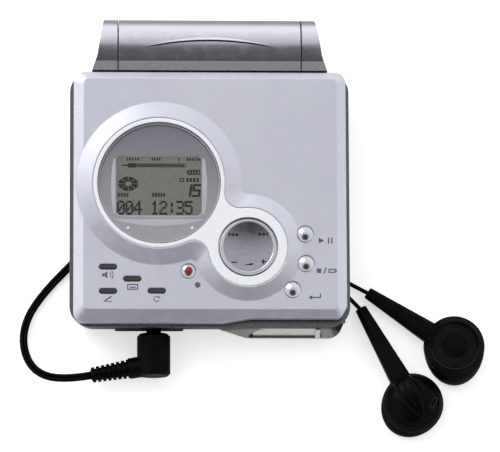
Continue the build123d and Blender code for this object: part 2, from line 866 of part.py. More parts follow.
def lid_openings():
    """The openings of the display, the key and the buttons, and the trim frame's recess."""
    x, y = display_centre
    kx, ky = key_centre
    seat = lid_top + halo_crest - trim_depth
    cut = Pos(0, 0, seat) * extrude(trim_outline(trim_gap), 3)
    cut = cut + post(x, y, display_floor, lid_top + 3, ring_inner)
    panel_y = y + lcd_offset_y
    cut = cut + block(
        x - lcd_width / 2 - lcd_border, x + lcd_width / 2 + lcd_border,
        panel_y - lcd_depth / 2 - lcd_border, panel_y + lcd_depth / 2 + lcd_border, lid_bottom, lid_top,
    )
    cut = cut + post(kx, ky, lid_bottom, lid_top + 3, key_radius + key_gap)
    cut = cut + post(kx, ky, lid_bottom, key_flange_top + 0.45, key_radius + key_flange + 0.3)
    for name, (bx, by) in round_buttons.items():
        cut = cut + post(bx, by + body_y, lid_bottom, lid_top + 1, dome_radius(name) + button_gap)
    slot = SlotOverall(bar_length + 2 * button_gap, bar_width + 2 * button_gap)
    for bx, by in bar_buttons.values():
        cut = cut + Pos(bx, by + body_y, lid_bottom) * extrude(slot, 6)
    return cut


def hinge_side(lid, side):
    """One side of the lid's hinge: a notch for the casing's lug, and the boss that carries the pin."""
    inner_wall = lid_rear - lid_wall
    lug_out = hinge_lug_x + hinge_lug_width / 2
    notch0 = min(side * (holder_ear_x - 0.8), side * (lug_out + hinge_notch))
    notch1 = max(side * (holder_ear_x - 0.8), side * (lug_out + hinge_notch))
    lid = lid - block(
        notch0, notch1, hinge_y - 1.4, inner_wall + 0.1, lid_bottom - 1, lid_ceiling - 0.05
    )
    lid = lid - block(notch0, notch1, inner_wall, lid_rear + 1, lid_bottom - 1, hinge_z + 0.6)
    boss_from = lug_out + 0.2
    boss_to = hinge_lug_x + hinge_pin_length / 2 + 0.4
    boss = on_side(side, boss_from, boss_to, hinge_y, hinge_z, hinge_boss)
    web = block(
        min(side * boss_from, side * boss_to), max(side * boss_from, side * boss_to),
        hinge_y - hinge_boss, inner_wall + 0.2, hinge_z, lid_ceiling + 0.2,
    )
    reach = hinge_pin_length / 2 + 0.1
    pin = on_side(side, hinge_lug_x - reach, hinge_lug_x + reach, hinge_y, hinge_z, hinge_pin_radius + running)
    return lid + boss + web - pin


def make_lid_shell():
    """The bevelled lid, hollow underneath, with the raised halo and all its openings."""
    x0 = lid_width / 2 - lid_wall
    y0 = lid_front + lid_front_wall
    y1 = lid_rear - lid_wall
    wide = slab(2 * x0, y1 - y0, lid_inner_corner, 0, (y0 + y1) / 2, lid_bottom - 1, lid_thick_z)
    deep = slab(
        2 * (x0 - lid_thick), y1 - y0 - lid_thick, lid_inner_corner, 0, (y0 + y1 - lid_thick) / 2,
        lid_bottom, lid_ceiling,
    )
    lid = lid_block() + raised_halo() - wide - deep
    lid = lid - Pos(0, 0, lid_bottom - 1) * extrude(step_face(0), 8)
    # the rear wall ends higher and is chamfered, so that it clears the casing as it swings
    low = lid_bottom + lid_rear_lift
    inside = lid_rear - lid_wall - lid_thick
    under = Polyline(
        (inside, lid_bottom - 1), (lid_rear + 1, lid_bottom - 1), (lid_rear + 1, low + lid_rear_chamfer),
        (lid_rear, low + lid_rear_chamfer), (lid_rear - lid_rear_chamfer, low), (inside, low), close=True,
    )
    lid = lid - side_prism(make_face(under), -lid_width, lid_width) - lid_openings()
    for side in (-1, 1):
        lid = hinge_side(lid, side)
    for x, y in plate_posts():
        lid = lid + post(x, y, inner_plate_z + inner_plate_thickness, lid_ceiling + 0.2, plate_post)
        lid = lid - post(x, y, inner_plate_z, lid_ceiling - 0.4, screw_shank - 0.02)
    catch_pocket = block(
        hook_x - 0.5 - slider_travel, hook_x + 2.2, inner_front, inner_front + 0.8,
        lid_bottom - 1, lid_bottom + 1.5,
    )
    return lid - catch_pocket


def plate_posts():
    """Centres of the screw posts between the lid and its inner plate."""
    left = plate_post_side - lid_width / 2
    right = lid_width / 2 - plate_post_side
    rear = lid_rear - plate_post_rear
    front = lid_front + plate_post_front
    return [(left, front), (right, front - 2.5), (left, rear), (right, rear)]


def head_slot(room, width, z0, z1):
    """The slot that the magnetic head's carriage runs in, on the disc's radius."""
    return block(
        pickup_x - pickup_inward - room, pickup_x + pickup_outward + room,
        disc_y - width / 2, disc_y + width / 2, z0, z1,
    )


def make_inner_plate():
    """The thin metal plate under the lid's electronics, with a slot for the head's carriage."""
    half = lid_width / 2 - lid_wall - plate_room
    y0 = lid_front + lid_front_wall + plate_room
    y1 = hinge_y - 3.0
    plate = slab(2 * half, y1 - y0, 2.0, 0, (y0 + y1) / 2, inner_plate_z, inner_plate_z + inner_plate_thickness)
    plate = plate - head_slot(3.2, head_slot_width, inner_plate_z - 1, key_board_z)
    for x, y in plate_posts():
        plate = plate - post(x, y, inner_plate_z - 1, key_board_z, screw_shank + 0.1)
    return plate


def key_pads():
    """Centres of the key's four contacts, from the key's centre."""
    angles = [math.radians(45 + 90 * i) for i in range(4)]
    return [(key_pad_radius * math.cos(a), key_pad_radius * math.sin(a)) for a in angles]


def make_key_board():
    """The circuit board behind the buttons, with a dome under each."""
    half = lid_width / 2 - lid_wall - lid_thick - 0.8
    y0 = lid_front + lid_front_wall + 1.0
    y1 = lid_rear - lid_wall - lid_thick - 4.0
    board = slab(2 * half, y1 - y0, 1.5, 0, (y0 + y1) / 2, key_board_z, board_top)
    board = board - head_slot(3.6, head_slot_width + 2.8, 0, lid_top)
    for x, y in plate_posts():
        board = board - post(x, y, 0, lid_top, plate_post + 0.3)
    dome_bottom = board_top - 0.01
    dome_top = board_top + dome_height
    for x, y in list(round_buttons.values()) + list(bar_buttons.values()):
        board = board + frustum(x, y + body_y, dome_bottom, dome_top, dome_foot, dome_foot - 0.5)
    kx, ky = key_centre
    for dx, dy in key_pads():
        board = board + frustum(kx + dx, ky + dy, dome_bottom, dome_top, dome_foot - 0.3, dome_foot - 0.7)
    return board


def make_trim_frame():
    """The pale frame round the display and the key."""
    seat = lid_top + halo_crest - trim_depth
    frame = Pos(0, 0, seat) * extrude(trim_outline(0), trim_depth + trim_proud)
    frame = chamfer(frame.faces().sort_by(Axis.Z)[-1].edges(), trim_chamfer)
    x, y = display_centre
    kx, ky = key_centre
    frame = frame - post(x, y, 0, lid_top + 5, ring_inner)
    return frame - post(kx, ky, 0, lid_top + 5, key_radius + key_gap)


def make_display():
    """Window, mask and liquid-crystal panel of the round display."""
    x, y = display_centre
    ly = y + lcd_offset_y
    mask = post(x, y, display_floor, display_floor + bezel_thickness, ring_inner - 0.03)
    hole = Pos(x, ly, 0) * extrude(RectangleRounded(lcd_width, lcd_depth, lcd_corner), lid_top + 5)
    mask = mask - hole
    window_z = display_floor + bezel_thickness + window_air
    window = post(x, y, window_z, window_z + window_thickness, ring_inner - window_gap)
    window = chamfer(window.edges().sort_by(Axis.Z)[-1:], window_chamfer)
    half_width = lcd_width / 2 + lcd_border - 0.1
    half_depth = lcd_depth / 2 + lcd_border - 0.1
    panel = block(
        x - half_width, x + half_width, ly - half_depth, ly + half_depth, board_top + 0.4, display_floor
    )
    return mask, window, panel


def dome_radius(name):
    """The record button is a little smaller than the others."""
    return record_radius if name == "record_button" else button_radius


def make_round_button(name):
    """A domed button with a flange under the lid and a short stem over its switch."""
    x, y = round_buttons[name]
    radius = dome_radius(name)
    top = lid_top + button_proud
    profile = Polyline(
        (0, button_low), (1.0, button_low), (1.0, flange_low), (radius + button_flange, flange_low),
        (radius + button_flange, flange_top), (radius, flange_top), (radius, lid_top + 0.1),
    )
    dome = cap_arc(radius, lid_top + 0.1, top)
    axis = Line((0, top), (0, button_low))
    face = Plane.XZ * make_face(Curve() + [profile, dome, axis])
    return Pos(x, y + body_y, 0) * revolve(face, Axis.Z)


def make_bar_button(name):
    """A flat button with rounded ends, a flange and a short stem."""
    x, y = bar_buttons[name]
    y = y + body_y
    bar = Pos(x, y, flange_low) * extrude(SlotOverall(bar_length, bar_width), lid_top + bar_proud - flange_low)
    bar = chamfer(bar.faces().sort_by(Axis.Z)[-1].edges(), bar_proud / 2)
    flange = Pos(x, y, flange_low) * extrude(SlotOverall(bar_length + 1.0, bar_width + 1.0), flange_height)
    return bar + flange + post(x, y, button_low, flange_low + 0.1, 0.5)


def make_key():
    """The round four-way key: a dished face inside a narrow rim, on a flange under the lid."""
    top = lid_top + key_proud
    r = key_radius
    dish_edge = r - key_rim
    dish_top = top - 0.15
    hub_top = key_hub_z + key_hub_depth
    rim = Polyline(
        (key_hub_bore, key_hub_z), (r + key_flange, key_hub_z), (r + key_flange, key_flange_top),
        (r, key_flange_top), (r, top - 0.35), (r - 0.35, top), (r - 0.75, top), (dish_edge, dish_top),
    )
    dish = cap_arc(dish_edge, dish_top, dish_top - key_dish)
    axis = Polyline(
        (0, dish_top - key_dish), (0, hub_top), (key_hub_bore, hub_top), (key_hub_bore, key_hub_z)
    )
    key = revolve(Plane.XZ * make_face(Curve() + [rim, dish, axis]), Axis.Z)
    for dx, dy in key_pads():
        key = key + post(dx, dy, pad_low, key_hub_z + 0.1, 0.7)
    for side in (-1, 1):
        eye_y = side * gimbal_reach
        key = key + block(
            -0.6, 0.6, eye_y - gimbal_half, eye_y + gimbal_half, gimbal_z - gimbal_eye, hub_top + 0.1
        )
    pin_reach = gimbal_reach + 1
    key = key - rod_y(0, -pin_reach, pin_reach, gimbal_z, gimbal_pin + running)
    return Pos(*key_centre, 0) * key


def make_gimbal():
    """A small frame on two pins along X, with two pins along Y that carry the key."""
    frame = Box(gimbal_frame, gimbal_frame, 0.7) - Box(gimbal_inside, gimbal_inside, 1)
    inner_end = gimbal_inside / 2 + 0.1
    outer_end = gimbal_reach + gimbal_half + 0.05
    for i in range(4):
        frame = frame + Rot(0, 0, 90 * i) * rod_x(inner_end, outer_end, 0, 0, gimbal_pin)
    return Pos(*key_centre, gimbal_z) * frame


def make_gimbal_posts():
    """Two bearing blocks on the key board."""
    posts = []
    for side in (-1, 1):
        x = side * gimbal_reach
        bearing = block(x - gimbal_half, x + gimbal_half, -0.6, 0.6, board_top - gimbal_z, 0.55)
        bearing = bearing - rod_x(x - 1, x + 1, 0, 0, gimbal_pin + running)
        posts.append(Pos(*key_centre, gimbal_z) * bearing)
    return posts


# ---------------------------------------------------------------- disc carrier, cartridge and disc
def make_cartridge():
    """The cartridge's case with its hub opening and a head window through both faces."""
    case = slab(cartridge_width, cartridge_depth, 1.2, 0, disc_y, cartridge_z, cartridge_top)
    inside = post(0, disc_y, cartridge_z + cartridge_wall, cartridge_top - cartridge_wall, disc_radius + 0.8)
    hub = post(0, disc_y, cartridge_z - 1, cartridge_z + 2, hub_radius + 0.5)
    window = block(
        window_from, window_to, disc_y - window_half, disc_y + window_half, cartridge_z - 1, cartridge_top + 1
    )
    case = case - inside - hub - window
    # the shallow track that the shutter runs in, round the right edge
    y0 = disc_y + window_half + 0.4
    y1 = disc_y + window_half + shutter_span
    side = cartridge_width / 2
    under = block(shutter_from - 0.2, side + 1, y0, y1, cartridge_z - 1, cartridge_z + shutter_recess)
    over = block(shutter_from - 0.2, side + 1, y0, y1, cartridge_top - shutter_recess, cartridge_top + 1)
    edge = block(side - shutter_recess, side + 1, y0, y1, cartridge_z - 1, cartridge_top + 1)
    return case - under - over - edge


def make_shutter():
    """The folded sheet that covers the window outside the player. Here it has been slid back."""
    y0 = disc_y + window_half + 0.8
    y1 = y0 + shutter_span - 1.6 - 4.0
    out = cartridge_width / 2 - 0.02
    t = shutter_thickness
    low = block(shutter_from, out, y0, y1, cartridge_z + 0.02, cartridge_z + 0.02 + t)
    high = block(shutter_from, out, y0, y1, cartridge_top - 0.02 - t, cartridge_top - 0.02)
    web = block(out - t, out, y0, y1, cartridge_z + 0.02, cartridge_top - 0.02)
    return low + high + web


def make_disc():
    """The disc with its steel hub."""
    plate = post(0, disc_y, disc_z, disc_z + disc_thickness, disc_radius)
    hub = post(0, disc_y, disc_z - hub_thickness, disc_z, hub_radius)
    ring = post(0, disc_y, disc_z + disc_thickness, disc_z + disc_thickness + 0.12, clamp_ring)
    return plate + hub + ring - post(0, disc_y, 0, disc_z, hub_hole)


def make_holder():
    """The folded sheet carrier that swings up with the lid."""
    inner = cartridge_width / 2 + holder_room
    outer = inner + holder_sheet
    rear = disc_y + cartridge_depth / 2 + holder_room
    y0 = holder_front
    y1 = rear + holder_sheet
    z0 = cartridge_z - holder_room - holder_sheet
    z1 = cartridge_top + holder_room + holder_sheet
    shell = block(-outer, outer, y0, y1, z0, z1)
    shell = shell - block(-inner, inner, y0 - 1, rear, z0 + holder_sheet, z1 - holder_sheet)
    # only narrow flanges stay underneath, and the middle of the top is open
    shell = shell - block(-inner + holder_flange, inner - holder_flange, y0 - 1, y1 + 1, z0 - 1, z0 + 1)
    shell = shell - block(pickup_x, outer + 1, disc_y - 13.0, disc_y + 13.0, z0 - 1, z0 + holder_sheet + 0.01)
    shell = shell - slab(2 * inner - 8, y1 - y0 - 12, 5.0, 0, (y0 + y1) / 2, z1 - 1, z1 + 1)
    shell = shell - block(-outer - 1, outer + 1, hinge_y - 2.3, y1 + 1, cartridge_top + 0.01, z1 + 1)
    shell = shell - block(-outer - 1, outer + 1, rear - 0.01, y1 + 1, holder_rear_top, z1 + 1)
    for y, reach in ((line_in_y, line_in_length), (power_y, power_length)):
        shell = shell - block(
            -outer - 1, socket_side + reach + 0.4,
            y - socket_half - socket_room, y + socket_half + socket_swing,
            z0 - 1, z0 + holder_sheet + 0.05,
        )
    # ears that turn on the lid's hinge pins
    for side in (-1, 1):
        x0 = side * holder_ear_x - holder_ear / 2
        x1 = side * holder_ear_x + holder_ear / 2
        ear = block(x0, x1, hinge_y - 0.9, y1, z0 + 1.6, hinge_z) + rod_x(x0, x1, hinge_y, hinge_z, 0.95)
        ear = ear - block(x0 - 1, x1 + 1, hinge_y - 2, rear, z0 - 1, cartridge_top + holder_room)
        shell = shell + ear - rod_x(x0 - 1, x1 + 1, hinge_y, hinge_z, hinge_pin_radius + running)
    return shell


# ---------------------------------------------------------------- mechanism
def toothed(radius_pitch, teeth, width, turn, play):
    """A spur gear about X with straight-flanked teeth, its first tooth at an angle from +Y."""
    teeth = round(teeth)
    step = 2 * math.pi / teeth
    outer = radius_pitch + gear_module
    root = radius_pitch - 1.25 * gear_module
    points = []
    for i in range(teeth):
        middle = math.radians(turn) + i * step
        for radius, share in ((root, -0.36), (outer, -0.13), (outer, 0.13), (root, 0.36)):
            lean = share * step - math.copysign(play / radius / 2, share)
            points.append((radius * math.cos(middle + lean), radius * math.sin(middle + lean)))
    return side_prism(make_face(Polyline(*points, close=True)), 0, width)


def make_lead_screw():
    """The screw that drives the pickup, with its gear at the left end. The thread is a row of fine grooves."""
    x0 = shaft_from
    x1 = lug_right - 0.1
    screw = rod_x(x0, x1, screw_y, shaft_z, screw_radius)
    for i in range(screw_grooves):
        x = pickup_x - pickup_inward - 2 + i * screw_lead * 0.75
        ring = rod_x(x, x + 0.35, screw_y, shaft_z, screw_radius + 0.1)
        screw = screw - (ring - rod_x(x - 1, x + 1, screw_y, shaft_z, screw_radius - 0.15))
    gear = toothed(gear_pitch, screw_gear_teeth, gear_width, 0, gear_play)
    gear = Pos(x0 + gear_inset, screw_y, shaft_z) * gear
    left = rod_x(x0 - 1.4, x0, screw_y, shaft_z, screw_end_radius)
    right = rod_x(x1, x1 + 0.9, screw_y, shaft_z, screw_end_radius)
    return screw + gear + left + right


def make_pinion():
    """The sled motor's pinion and its shaft."""
    x0 = shaft_from + gear_inset
    half_gap = 180.0 / pinion_teeth
    gear = toothed(pinion_pitch, pinion_teeth, gear_width, 180 + half_gap, gear_play)
    gear = Pos(x0, sled_motor_y, shaft_z) * gear
    return gear + rod_x(x0 - 0.6, x0 + gear_width + 1.2, sled_motor_y, shaft_z, pinion_shaft)


def make_sled_motor():
    x0 = shaft_from + gear_inset + gear_width + 0.4
    can = rod_x(x0 + 0.4, x0 + sled_motor_length, sled_motor_y, shaft_z, sled_motor_radius)
    nose = rod_x(x0, x0 + 0.5, sled_motor_y, shaft_z, 0.8)
    return can + nose - rod_x(x0 - 1, x0 + 2.4, sled_motor_y, shaft_z, pinion_shaft + running)


def make_guide_shafts():
    shafts = []
    for side in (-1, 1):
        y = disc_y + side * shaft_spacing / 2
        shafts.append(rod_x(shaft_from + 1, inner_half - 1.2, y, shaft_z, shaft_radius))
    return Compound(shafts)


def make_pickup():
    """The optical pickup: a stepped block with bearings on both shafts and a half nut on the screw."""
    x0 = pickup_x - pickup_length / 2
    x1 = pickup_x + pickup_length / 2
    half = pickup_width / 2
    spread = shaft_spacing / 2
    low = shaft_z - pickup_bearing
    body = block(x0, x1, disc_y - half, disc_y + half, pickup_bottom, pickup_top - 0.6)
    body = body + slab(8.4, 10.4, 1.5, pickup_x, disc_y, pickup_top - 0.8, pickup_top)
    body = chamfer(body.edges().filter_by(Axis.Z).group_by(Axis.X)[0], 1.2)
    rear = block(
        pickup_x - pickup_ear / 2, pickup_x + pickup_ear / 2, disc_y + half - 0.5, disc_y + spread + 1.5,
        low, shaft_z + pickup_bearing,
    )
    rear = rear - rod_x(x0 - 1, x1 + 1, disc_y + spread, shaft_z, shaft_radius + running)
    fork = block(
        pickup_x - 1.5, pickup_x + 1.5, disc_y - spread - 1.5, disc_y - half + 0.5, shaft_z - 1.2, shaft_z + 1.2
    )
    mouth = shaft_radius + running
    fork = fork - block(x0, x1, disc_y - spread - 2, disc_y - spread + 0.9, shaft_z - mouth, shaft_z + mouth)
    nut0 = pickup_x - nut_length / 2
    nut1 = pickup_x + nut_length / 2
    nut_front = disc_y + spread + 1.2
    nut = block(nut0, nut1, nut_front, screw_y + 0.2, low, shaft_z - 0.8)
    nut = nut + block(nut0, nut1, screw_y - 1.6, screw_y + 0.2, low, shaft_z)
    nut = nut - rod_x(x0, x1, screw_y, shaft_z, screw_radius + running)
    nut = nut + block(nut0, nut1, nut_front, screw_y - 1.1, low, shaft_z - 0.5)
    seat = post(pickup_x, disc_y, pickup_top - 0.9, pickup_top + 1, lens_radius + 0.35)
    return body + rear + fork + nut - seat


def make_lens():
    """The objective lens in its ring."""
    ring = post(pickup_x, disc_y, pickup_top - 0.9, pickup_top + 0.05, lens_radius + 0.3)
    glass = frustum(pickup_x, disc_y, pickup_top, pickup_top + lens_height, lens_radius, lens_radius * 0.55)
    return ring + glass


def make_spindle_motor():
    """The disc's motor under the chassis, with the neck that passes through it."""
    can = post(0, disc_y, motor_bottom, chassis_z, motor_radius)
    neck = post(0, disc_y, chassis_z - 0.1, chassis_z + chassis_thickness, motor_neck)
    return can + neck - post(0, disc_y, motor_bottom + 0.5, chassis_z + 2, spindle_radius + running)


def make_turntable():
    """The turntable with its magnet, on the motor's spindle. The spindle's nose is conical."""
    base = chassis_z + chassis_thickness + 0.15
    table = post(0, disc_y, base, turntable_top, turntable_radius)
    table = chamfer(table.edges().sort_by(Axis.Z)[-1:], 0.2)
    spindle = post(0, disc_y, motor_bottom + 0.7, turntable_top, spindle_radius)
    return table + spindle + frustum(0, disc_y, turntable_top - 0.01, turntable_top + 0.8, hub_hole - 0.08, 0.4)


def make_chassis():
    """The metal plate that carries the motors, the shafts and the screw."""
    y0 = disc_y + chassis_front
    y1 = disc_y + chassis_rear
    x0 = chassis_left
    x1 = chassis_right
    spread = shaft_spacing / 2
    plate = slab(x1 - x0, y1 - y0, 2.0, (x0 + x1) / 2, (y0 + y1) / 2, chassis_z, chassis_z + chassis_thickness)
    plate = plate - block(shaft_from + 2, x1 - 1.6, disc_y - spread - 2.2, screw_y + 1.6, 0, through)
    half = pickup_width / 2 + 0.5
    plate = plate - block(x1 - 2, x1 + 1, disc_y - half, disc_y + half, 0, through)
    sled_rear = sled_motor_y + sled_motor_radius + 0.45
    plate = plate - block(shaft_from - 0.4, shaft_from + sled_room, screw_y - 2.6, sled_rear, 0, through)
    plate = plate - post(0, disc_y, 0, through, motor_neck + 0.05)
    for dy in (-12.5, 0, 12.5):
        plate = plate - slab(5.5, 7.0, 2.0, x0 + 6.5, disc_y + dy, 0, through)
    for x, y in screw_places():
        plate = plate - post(x, y, 0, through, screw_shank + 0.15)
    # folded lugs that hold the shafts' and the screw's ends
    ends = [
        (disc_y - spread, shaft_radius, lug_left, 0),
        (disc_y + spread, shaft_radius, lug_left, 0),
        (screw_y, screw_end_radius, screw_lug, running),
    ]
    for y, r, left, gap in ends:
        for x in (left, lug_right):
            lug = block(x, x + chassis_thickness, y - 1.5, y + 1.5, shaft_z - 1.4, chassis_z + 0.1)
            plate = plate + lug - rod_x(x - 0.3, x + chassis_thickness + 0.3, y, shaft_z, r + gap)
    return plate


def make_main_board():
    """The main circuit board under the mechanism."""
    half = inner_half - 0.6
    y0 = inner_front + 0.6
    y1 = inner_rear - 0.5
    spread = shaft_spacing / 2
    board = slab(2 * half, y1 - y0, 3.5, 0, (y0 + y1) / 2, board_z, board_z + board_thickness)
    board = board - post(0, disc_y, 0, through, motor_radius + 0.5)
    left = shaft_from - 2.4
    board = board - block(left, half + 1, disc_y - spread - 2.6, screw_y + 1.6, 0, through)
    board = board - block(
        left, shaft_from + sled_room, screw_y, sled_motor_y + sled_motor_radius + 0.65, 0, through
    )
    for x, y in bottom_screw_places():
        board = board - post(x, y, 0, through, screw_shank + 0.1)
    jack_half = jack_body_width / 2 + 0.3
    jack_end = socket_front + jack_body_length + 0.6
    board = board - block(jack_x - jack_half, jack_x + jack_half, y0 - 1, jack_end, 0, through)
    for y, reach in ((line_in_y, line_in_length), (power_y, power_length)):
        board = board - block(
            -half - 1, socket_side + reach + 0.8, y - socket_half - 0.25, y + socket_half + 0.25, 0, through
        )
    for x, y in screw_places():
        board = board - post(x, y, 0, through, mechanism_post + 0.3)
    return board


def make_board_parts():
    """Chips and connectors on the main board, each a separate body."""
    z = board_z + board_thickness
    boxes = [
        (-28.5, 11.0, 9.0, 9.0, 1.1), (-29.8, -2.0, 12.0, 12.0, 1.2), (-30.5, -17.0, 6.0, 8.0, 1.0),
        (10.0, -33.5, 10.0, 8.0, 1.2), (24.0, -34.0, 8.0, 5.0, 1.3),
        (-8.0, 25.0, 16.0, 3.2, 1.2),
    ]
    return Compound([block(x - w / 2, x + w / 2, y - d / 2, y + d / 2, z, z + h) for x, y, w, d, h in boxes])


# ---------------------------------------------------------------- sockets, slider, switch and small fixings
def make_headphone_jack():
    """The black panel in the front with the socket behind it."""
    panel_back = socket_front + panel_thickness - panel_proud
    half_width = panel_width / 2 - 0.05
    half_height = panel_height / 2 - 0.05
    panel = block(
        panel_x - half_width, panel_x + half_width, socket_front - panel_proud, panel_back,
        jack_z - half_height, jack_z + half_height,
    )
    panel = fillet(panel.edges().filter_by(Axis.Y), 0.8)
    half = jack_body_width / 2 - 0.05
    end = socket_front + jack_body_length
    body = block(
        jack_x - half, jack_x + half, panel_back - 0.1, end,
        floor_z + 0.02, jack_z + jack_body_height / 2 - 0.05,
    )
    return panel + body - rod_y(jack_x, socket_front - 1, end - 0.4, jack_z, jack_bore)


def make_side_jack(y, bore, length, pin):
    """A socket in the left side, with a centre pin where a radius is given for one."""
    x0 = socket_side
    inside = 0.05 - inner_half
    nose = rod_x(x0, inside + 0.2, y, jack_z, bore + side_jack_rim - 0.05)
    body = block(inside, x0 + length, y - socket_half, y + socket_half, floor_z + 0.02, jack_z + 2.2)
    jack = nose + body - rod_x(x0 - 1, x0 + length - 0.6, y, jack_z, bore)
    if pin:
        jack = jack + rod_x(x0 + 1.5, x0 + length - 0.5, y, jack_z, pin)
    return jack


def make_slider():
    """The opening slider: a plate behind its window, a thumb rib, and the arm that carries the hook."""
    end = slider_right + slider_rib
    plate = slope_block(
        slider_left + slider_travel + slider_room, end - slider_room,
        slider_height / 2 + slider_overlap, slider_skin + slider_room, slider_plate,
    )
    rib = slope_block(
        slider_right - 0.1, end - 0.35, slider_height / 2 - 0.15, -0.3, slider_plate + slider_skin + 0.4
    )
    arm_y0 = inner_front + 0.12
    arm_y1 = inner_front + 0.62
    arm_top = arm_z + arm_thickness
    stub = block(arm_x, arm_x + arm_size, case_front - 0.25, inner_front + 0.35, arm_z, arm_top)
    bar = block(hook_x, arm_x + arm_size, arm_y0, arm_y1, arm_z, arm_top)
    hook = block(hook_x, hook_x + 1.6, arm_y0, arm_y1, arm_z, lid_bottom + 1.2)
    return plate + rib + stub + bar + hook


def make_hold_switch():
    """The sliding switch in the right side: a knob in its slot, on a plate inside the wall."""
    y0 = hold_y - hold_slot / 2 + hold_play
    y1 = y0 + hold_knob
    half = hold_height / 2
    knob = block(
        hold_side - 0.7, hold_side - 0.05, y0, y1, hold_z - half + hold_play, hold_z + half - hold_play
    )
    knob = chamfer(knob.faces().sort_by(Axis.X)[-1].edges(), 0.2)
    plate = block(
        inner_half - 1.2, inner_half - 0.1, y0 - hold_flange, y1 + hold_flange,
        hold_z - half - hold_flange, hold_z + half + hold_flange,
    )
    neck = block(inner_half - 0.2, hold_side - 0.6, y0, y1, hold_z - 0.6, hold_z + 0.6)
    return knob + plate + neck


def make_hinge_pins():
    """The lid's two hinge pins and the cover's two."""
    pins = []
    for side in (-1, 1):
        for x, length, y, z, radius in (
            (hinge_lug_x, hinge_pin_length, hinge_y, hinge_z, hinge_pin_radius),
            (cover_length / 2, cover_pin_length, cover_pin_y, cover_pin_z, cover_pin_radius),
        ):
            pins.append(on_side(side, x - length / 2, x + length / 2, y, z, radius))
    return Compound(pins)


def make_head():
    """The magnetic head on a thin arm, hung from a carriage that runs in the inner plate's slot."""
    plate_top = inner_plate_z + inner_plate_thickness
    x0 = pickup_x - head_carriage
    x1 = pickup_x + head_carriage
    head = post(pickup_x, disc_y, head_z, head_z + 0.9, 1.3)
    arm = block(pickup_x - 0.9, pickup_x + 0.9, disc_y - 1.3, disc_y + 1.3, head_z + 0.8, head_z + 1.2)
    stem = block(
        pickup_x - 1.0, pickup_x + 1.0, disc_y - head_slot_width / 2 + 0.2, disc_y + head_slot_width / 2 - 0.2,
        head_z + 1.1, plate_top + 0.1,
    )
    low = block(x0, x1, disc_y - 1.8, disc_y + 1.8, inner_plate_z - 0.55, inner_plate_z - 0.05)
    high = block(x0, x1, disc_y - 1.8, disc_y + 1.8, plate_top + 0.05, plate_top + 0.35)
    return head + arm + stem + low + high


# ---------------------------------------------------------------- earphones
def flat_section(width, height):
    """The rounded section of the twin lead."""
    return RectangleRounded(width, height, height * 0.45)


def bend_radii(points):
    """One radius for each bend of a route: nearly half the shorter run next to it."""
    radii = []
    for a, b, c in zip(points, points[1:], points[2:]):
        u = Vector(*b) - Vector(*a)
        v = Vector(*c) - Vector(*b)
        half = math.radians(u.get_angle(v)) / 2
        radii.append(round(0.45 * min(u.length, v.length) / math.tan(half), 2))
    return radii


def cord(name, points, section, area):
    """A cord along a route, its section kept level. Prints its bend radii and checks its volume."""
    radii = bend_radii(points)
    line = FilletPolyline(*points, radius=radii)
    start = Plane(origin=line @ 0, z_dir=line % 0, x_dir=(line % 0).cross(Vector(0, 0, 1)))
    solid = sweep(start * section, path=line)
    ratio = solid.volume / (area * line.length)
    print(name, "length", round(line.length, 2), "radii", radii, "volume ratio", round(ratio, 3))
    return solid


def make_coil():
    """The outer shape of the lead's spare length, wound flat under the recorder."""
    return post(coil_x, coil_y, cord_low, cord_low + cord_thickness, coil_radius + cord_width / 2)


def make_leads():
    flat = flat_section(cord_width, cord_thickness)
    coil = make_coil()
    first = cord("lead_front", lead_front_route, flat, flat.area) - coil
    second = cord("lead_rear", lead_rear_route, flat, flat.area) - coil - make_yoke()
    return first, second, coil


def make_yoke():
    """The small moulded block where the twin lead parts into two wires."""
    x, y = yoke_centre
    body = extrude(RectangleRounded(yoke_length, yoke_width, 1.2), yoke_height)
    body = Pos(x, y, yoke_low) * Rot(0, 0, yoke_heading) * body
    return chamfer(body.faces().sort_by(Axis.Z)[-1].edges(), 0.35)


def make_plug():
    """The L-shaped plug: housing, pin and ribbed strain relief."""
    y0 = plug_face
    seat = y0 - 0.8
    tip = y0 + plug_neck + plug_pin_length
    housing = chamfer(rod_y(jack_x, y0 - plug_length, y0, jack_z, plug_radius).edges(), 0.7)
    housing = housing + rod_y(jack_x, y0 - 0.1, socket_front - panel_proud - 0.05, jack_z, plug_neck_radius)
    housing = housing - rod_y(jack_x, seat, y0 + 2, jack_z, plug_pin_radius)
    pin = rod_y(jack_x, seat, tip, jack_z, plug_pin_radius)
    pin = chamfer(pin.edges().sort_by(Axis.Y)[-1:], 0.9)
    for back in plug_rings:
        ring = rod_y(jack_x, tip - back, tip - back + 0.5, jack_z, plug_pin_radius + 1)
        pin = pin - (ring - rod_y(jack_x, tip - back - 1, tip - back + 1, jack_z, plug_pin_radius - 0.12))
    # the arm leaves the housing to the left; Z runs along it
    arm_place = Pos(jack_x, arm_y, jack_z) * Rot(0, 0, 180 + arm_tilt) * Rot(0, 90, 0)
    first = plug_radius - 0.9
    ribs_from = first + arm_collar
    end = plug_radius + arm_length
    step = (end - ribs_from) / arm_ribs
    collar = Pos(0, 0, first - 0.6 + arm_collar / 2 + 0.3) * Cylinder(arm_radius + 0.25, arm_collar + 1.8)
    housing = housing + arm_place * collar
    relief = Pos(0, 0, (ribs_from + end) / 2) * Cone(arm_radius - 0.55, arm_tip_radius - 0.5, end - ribs_from)
    for i in range(arm_ribs):
        share = (i + 0.5) / arm_ribs
        radius = arm_radius + (arm_tip_radius - arm_radius) * share
        relief = relief + Pos(0, 0, ribs_from + (i + 0.5) * step) * Cylinder(radius, step * 0.62)
    return housing, pin, arm_place * relief - housing


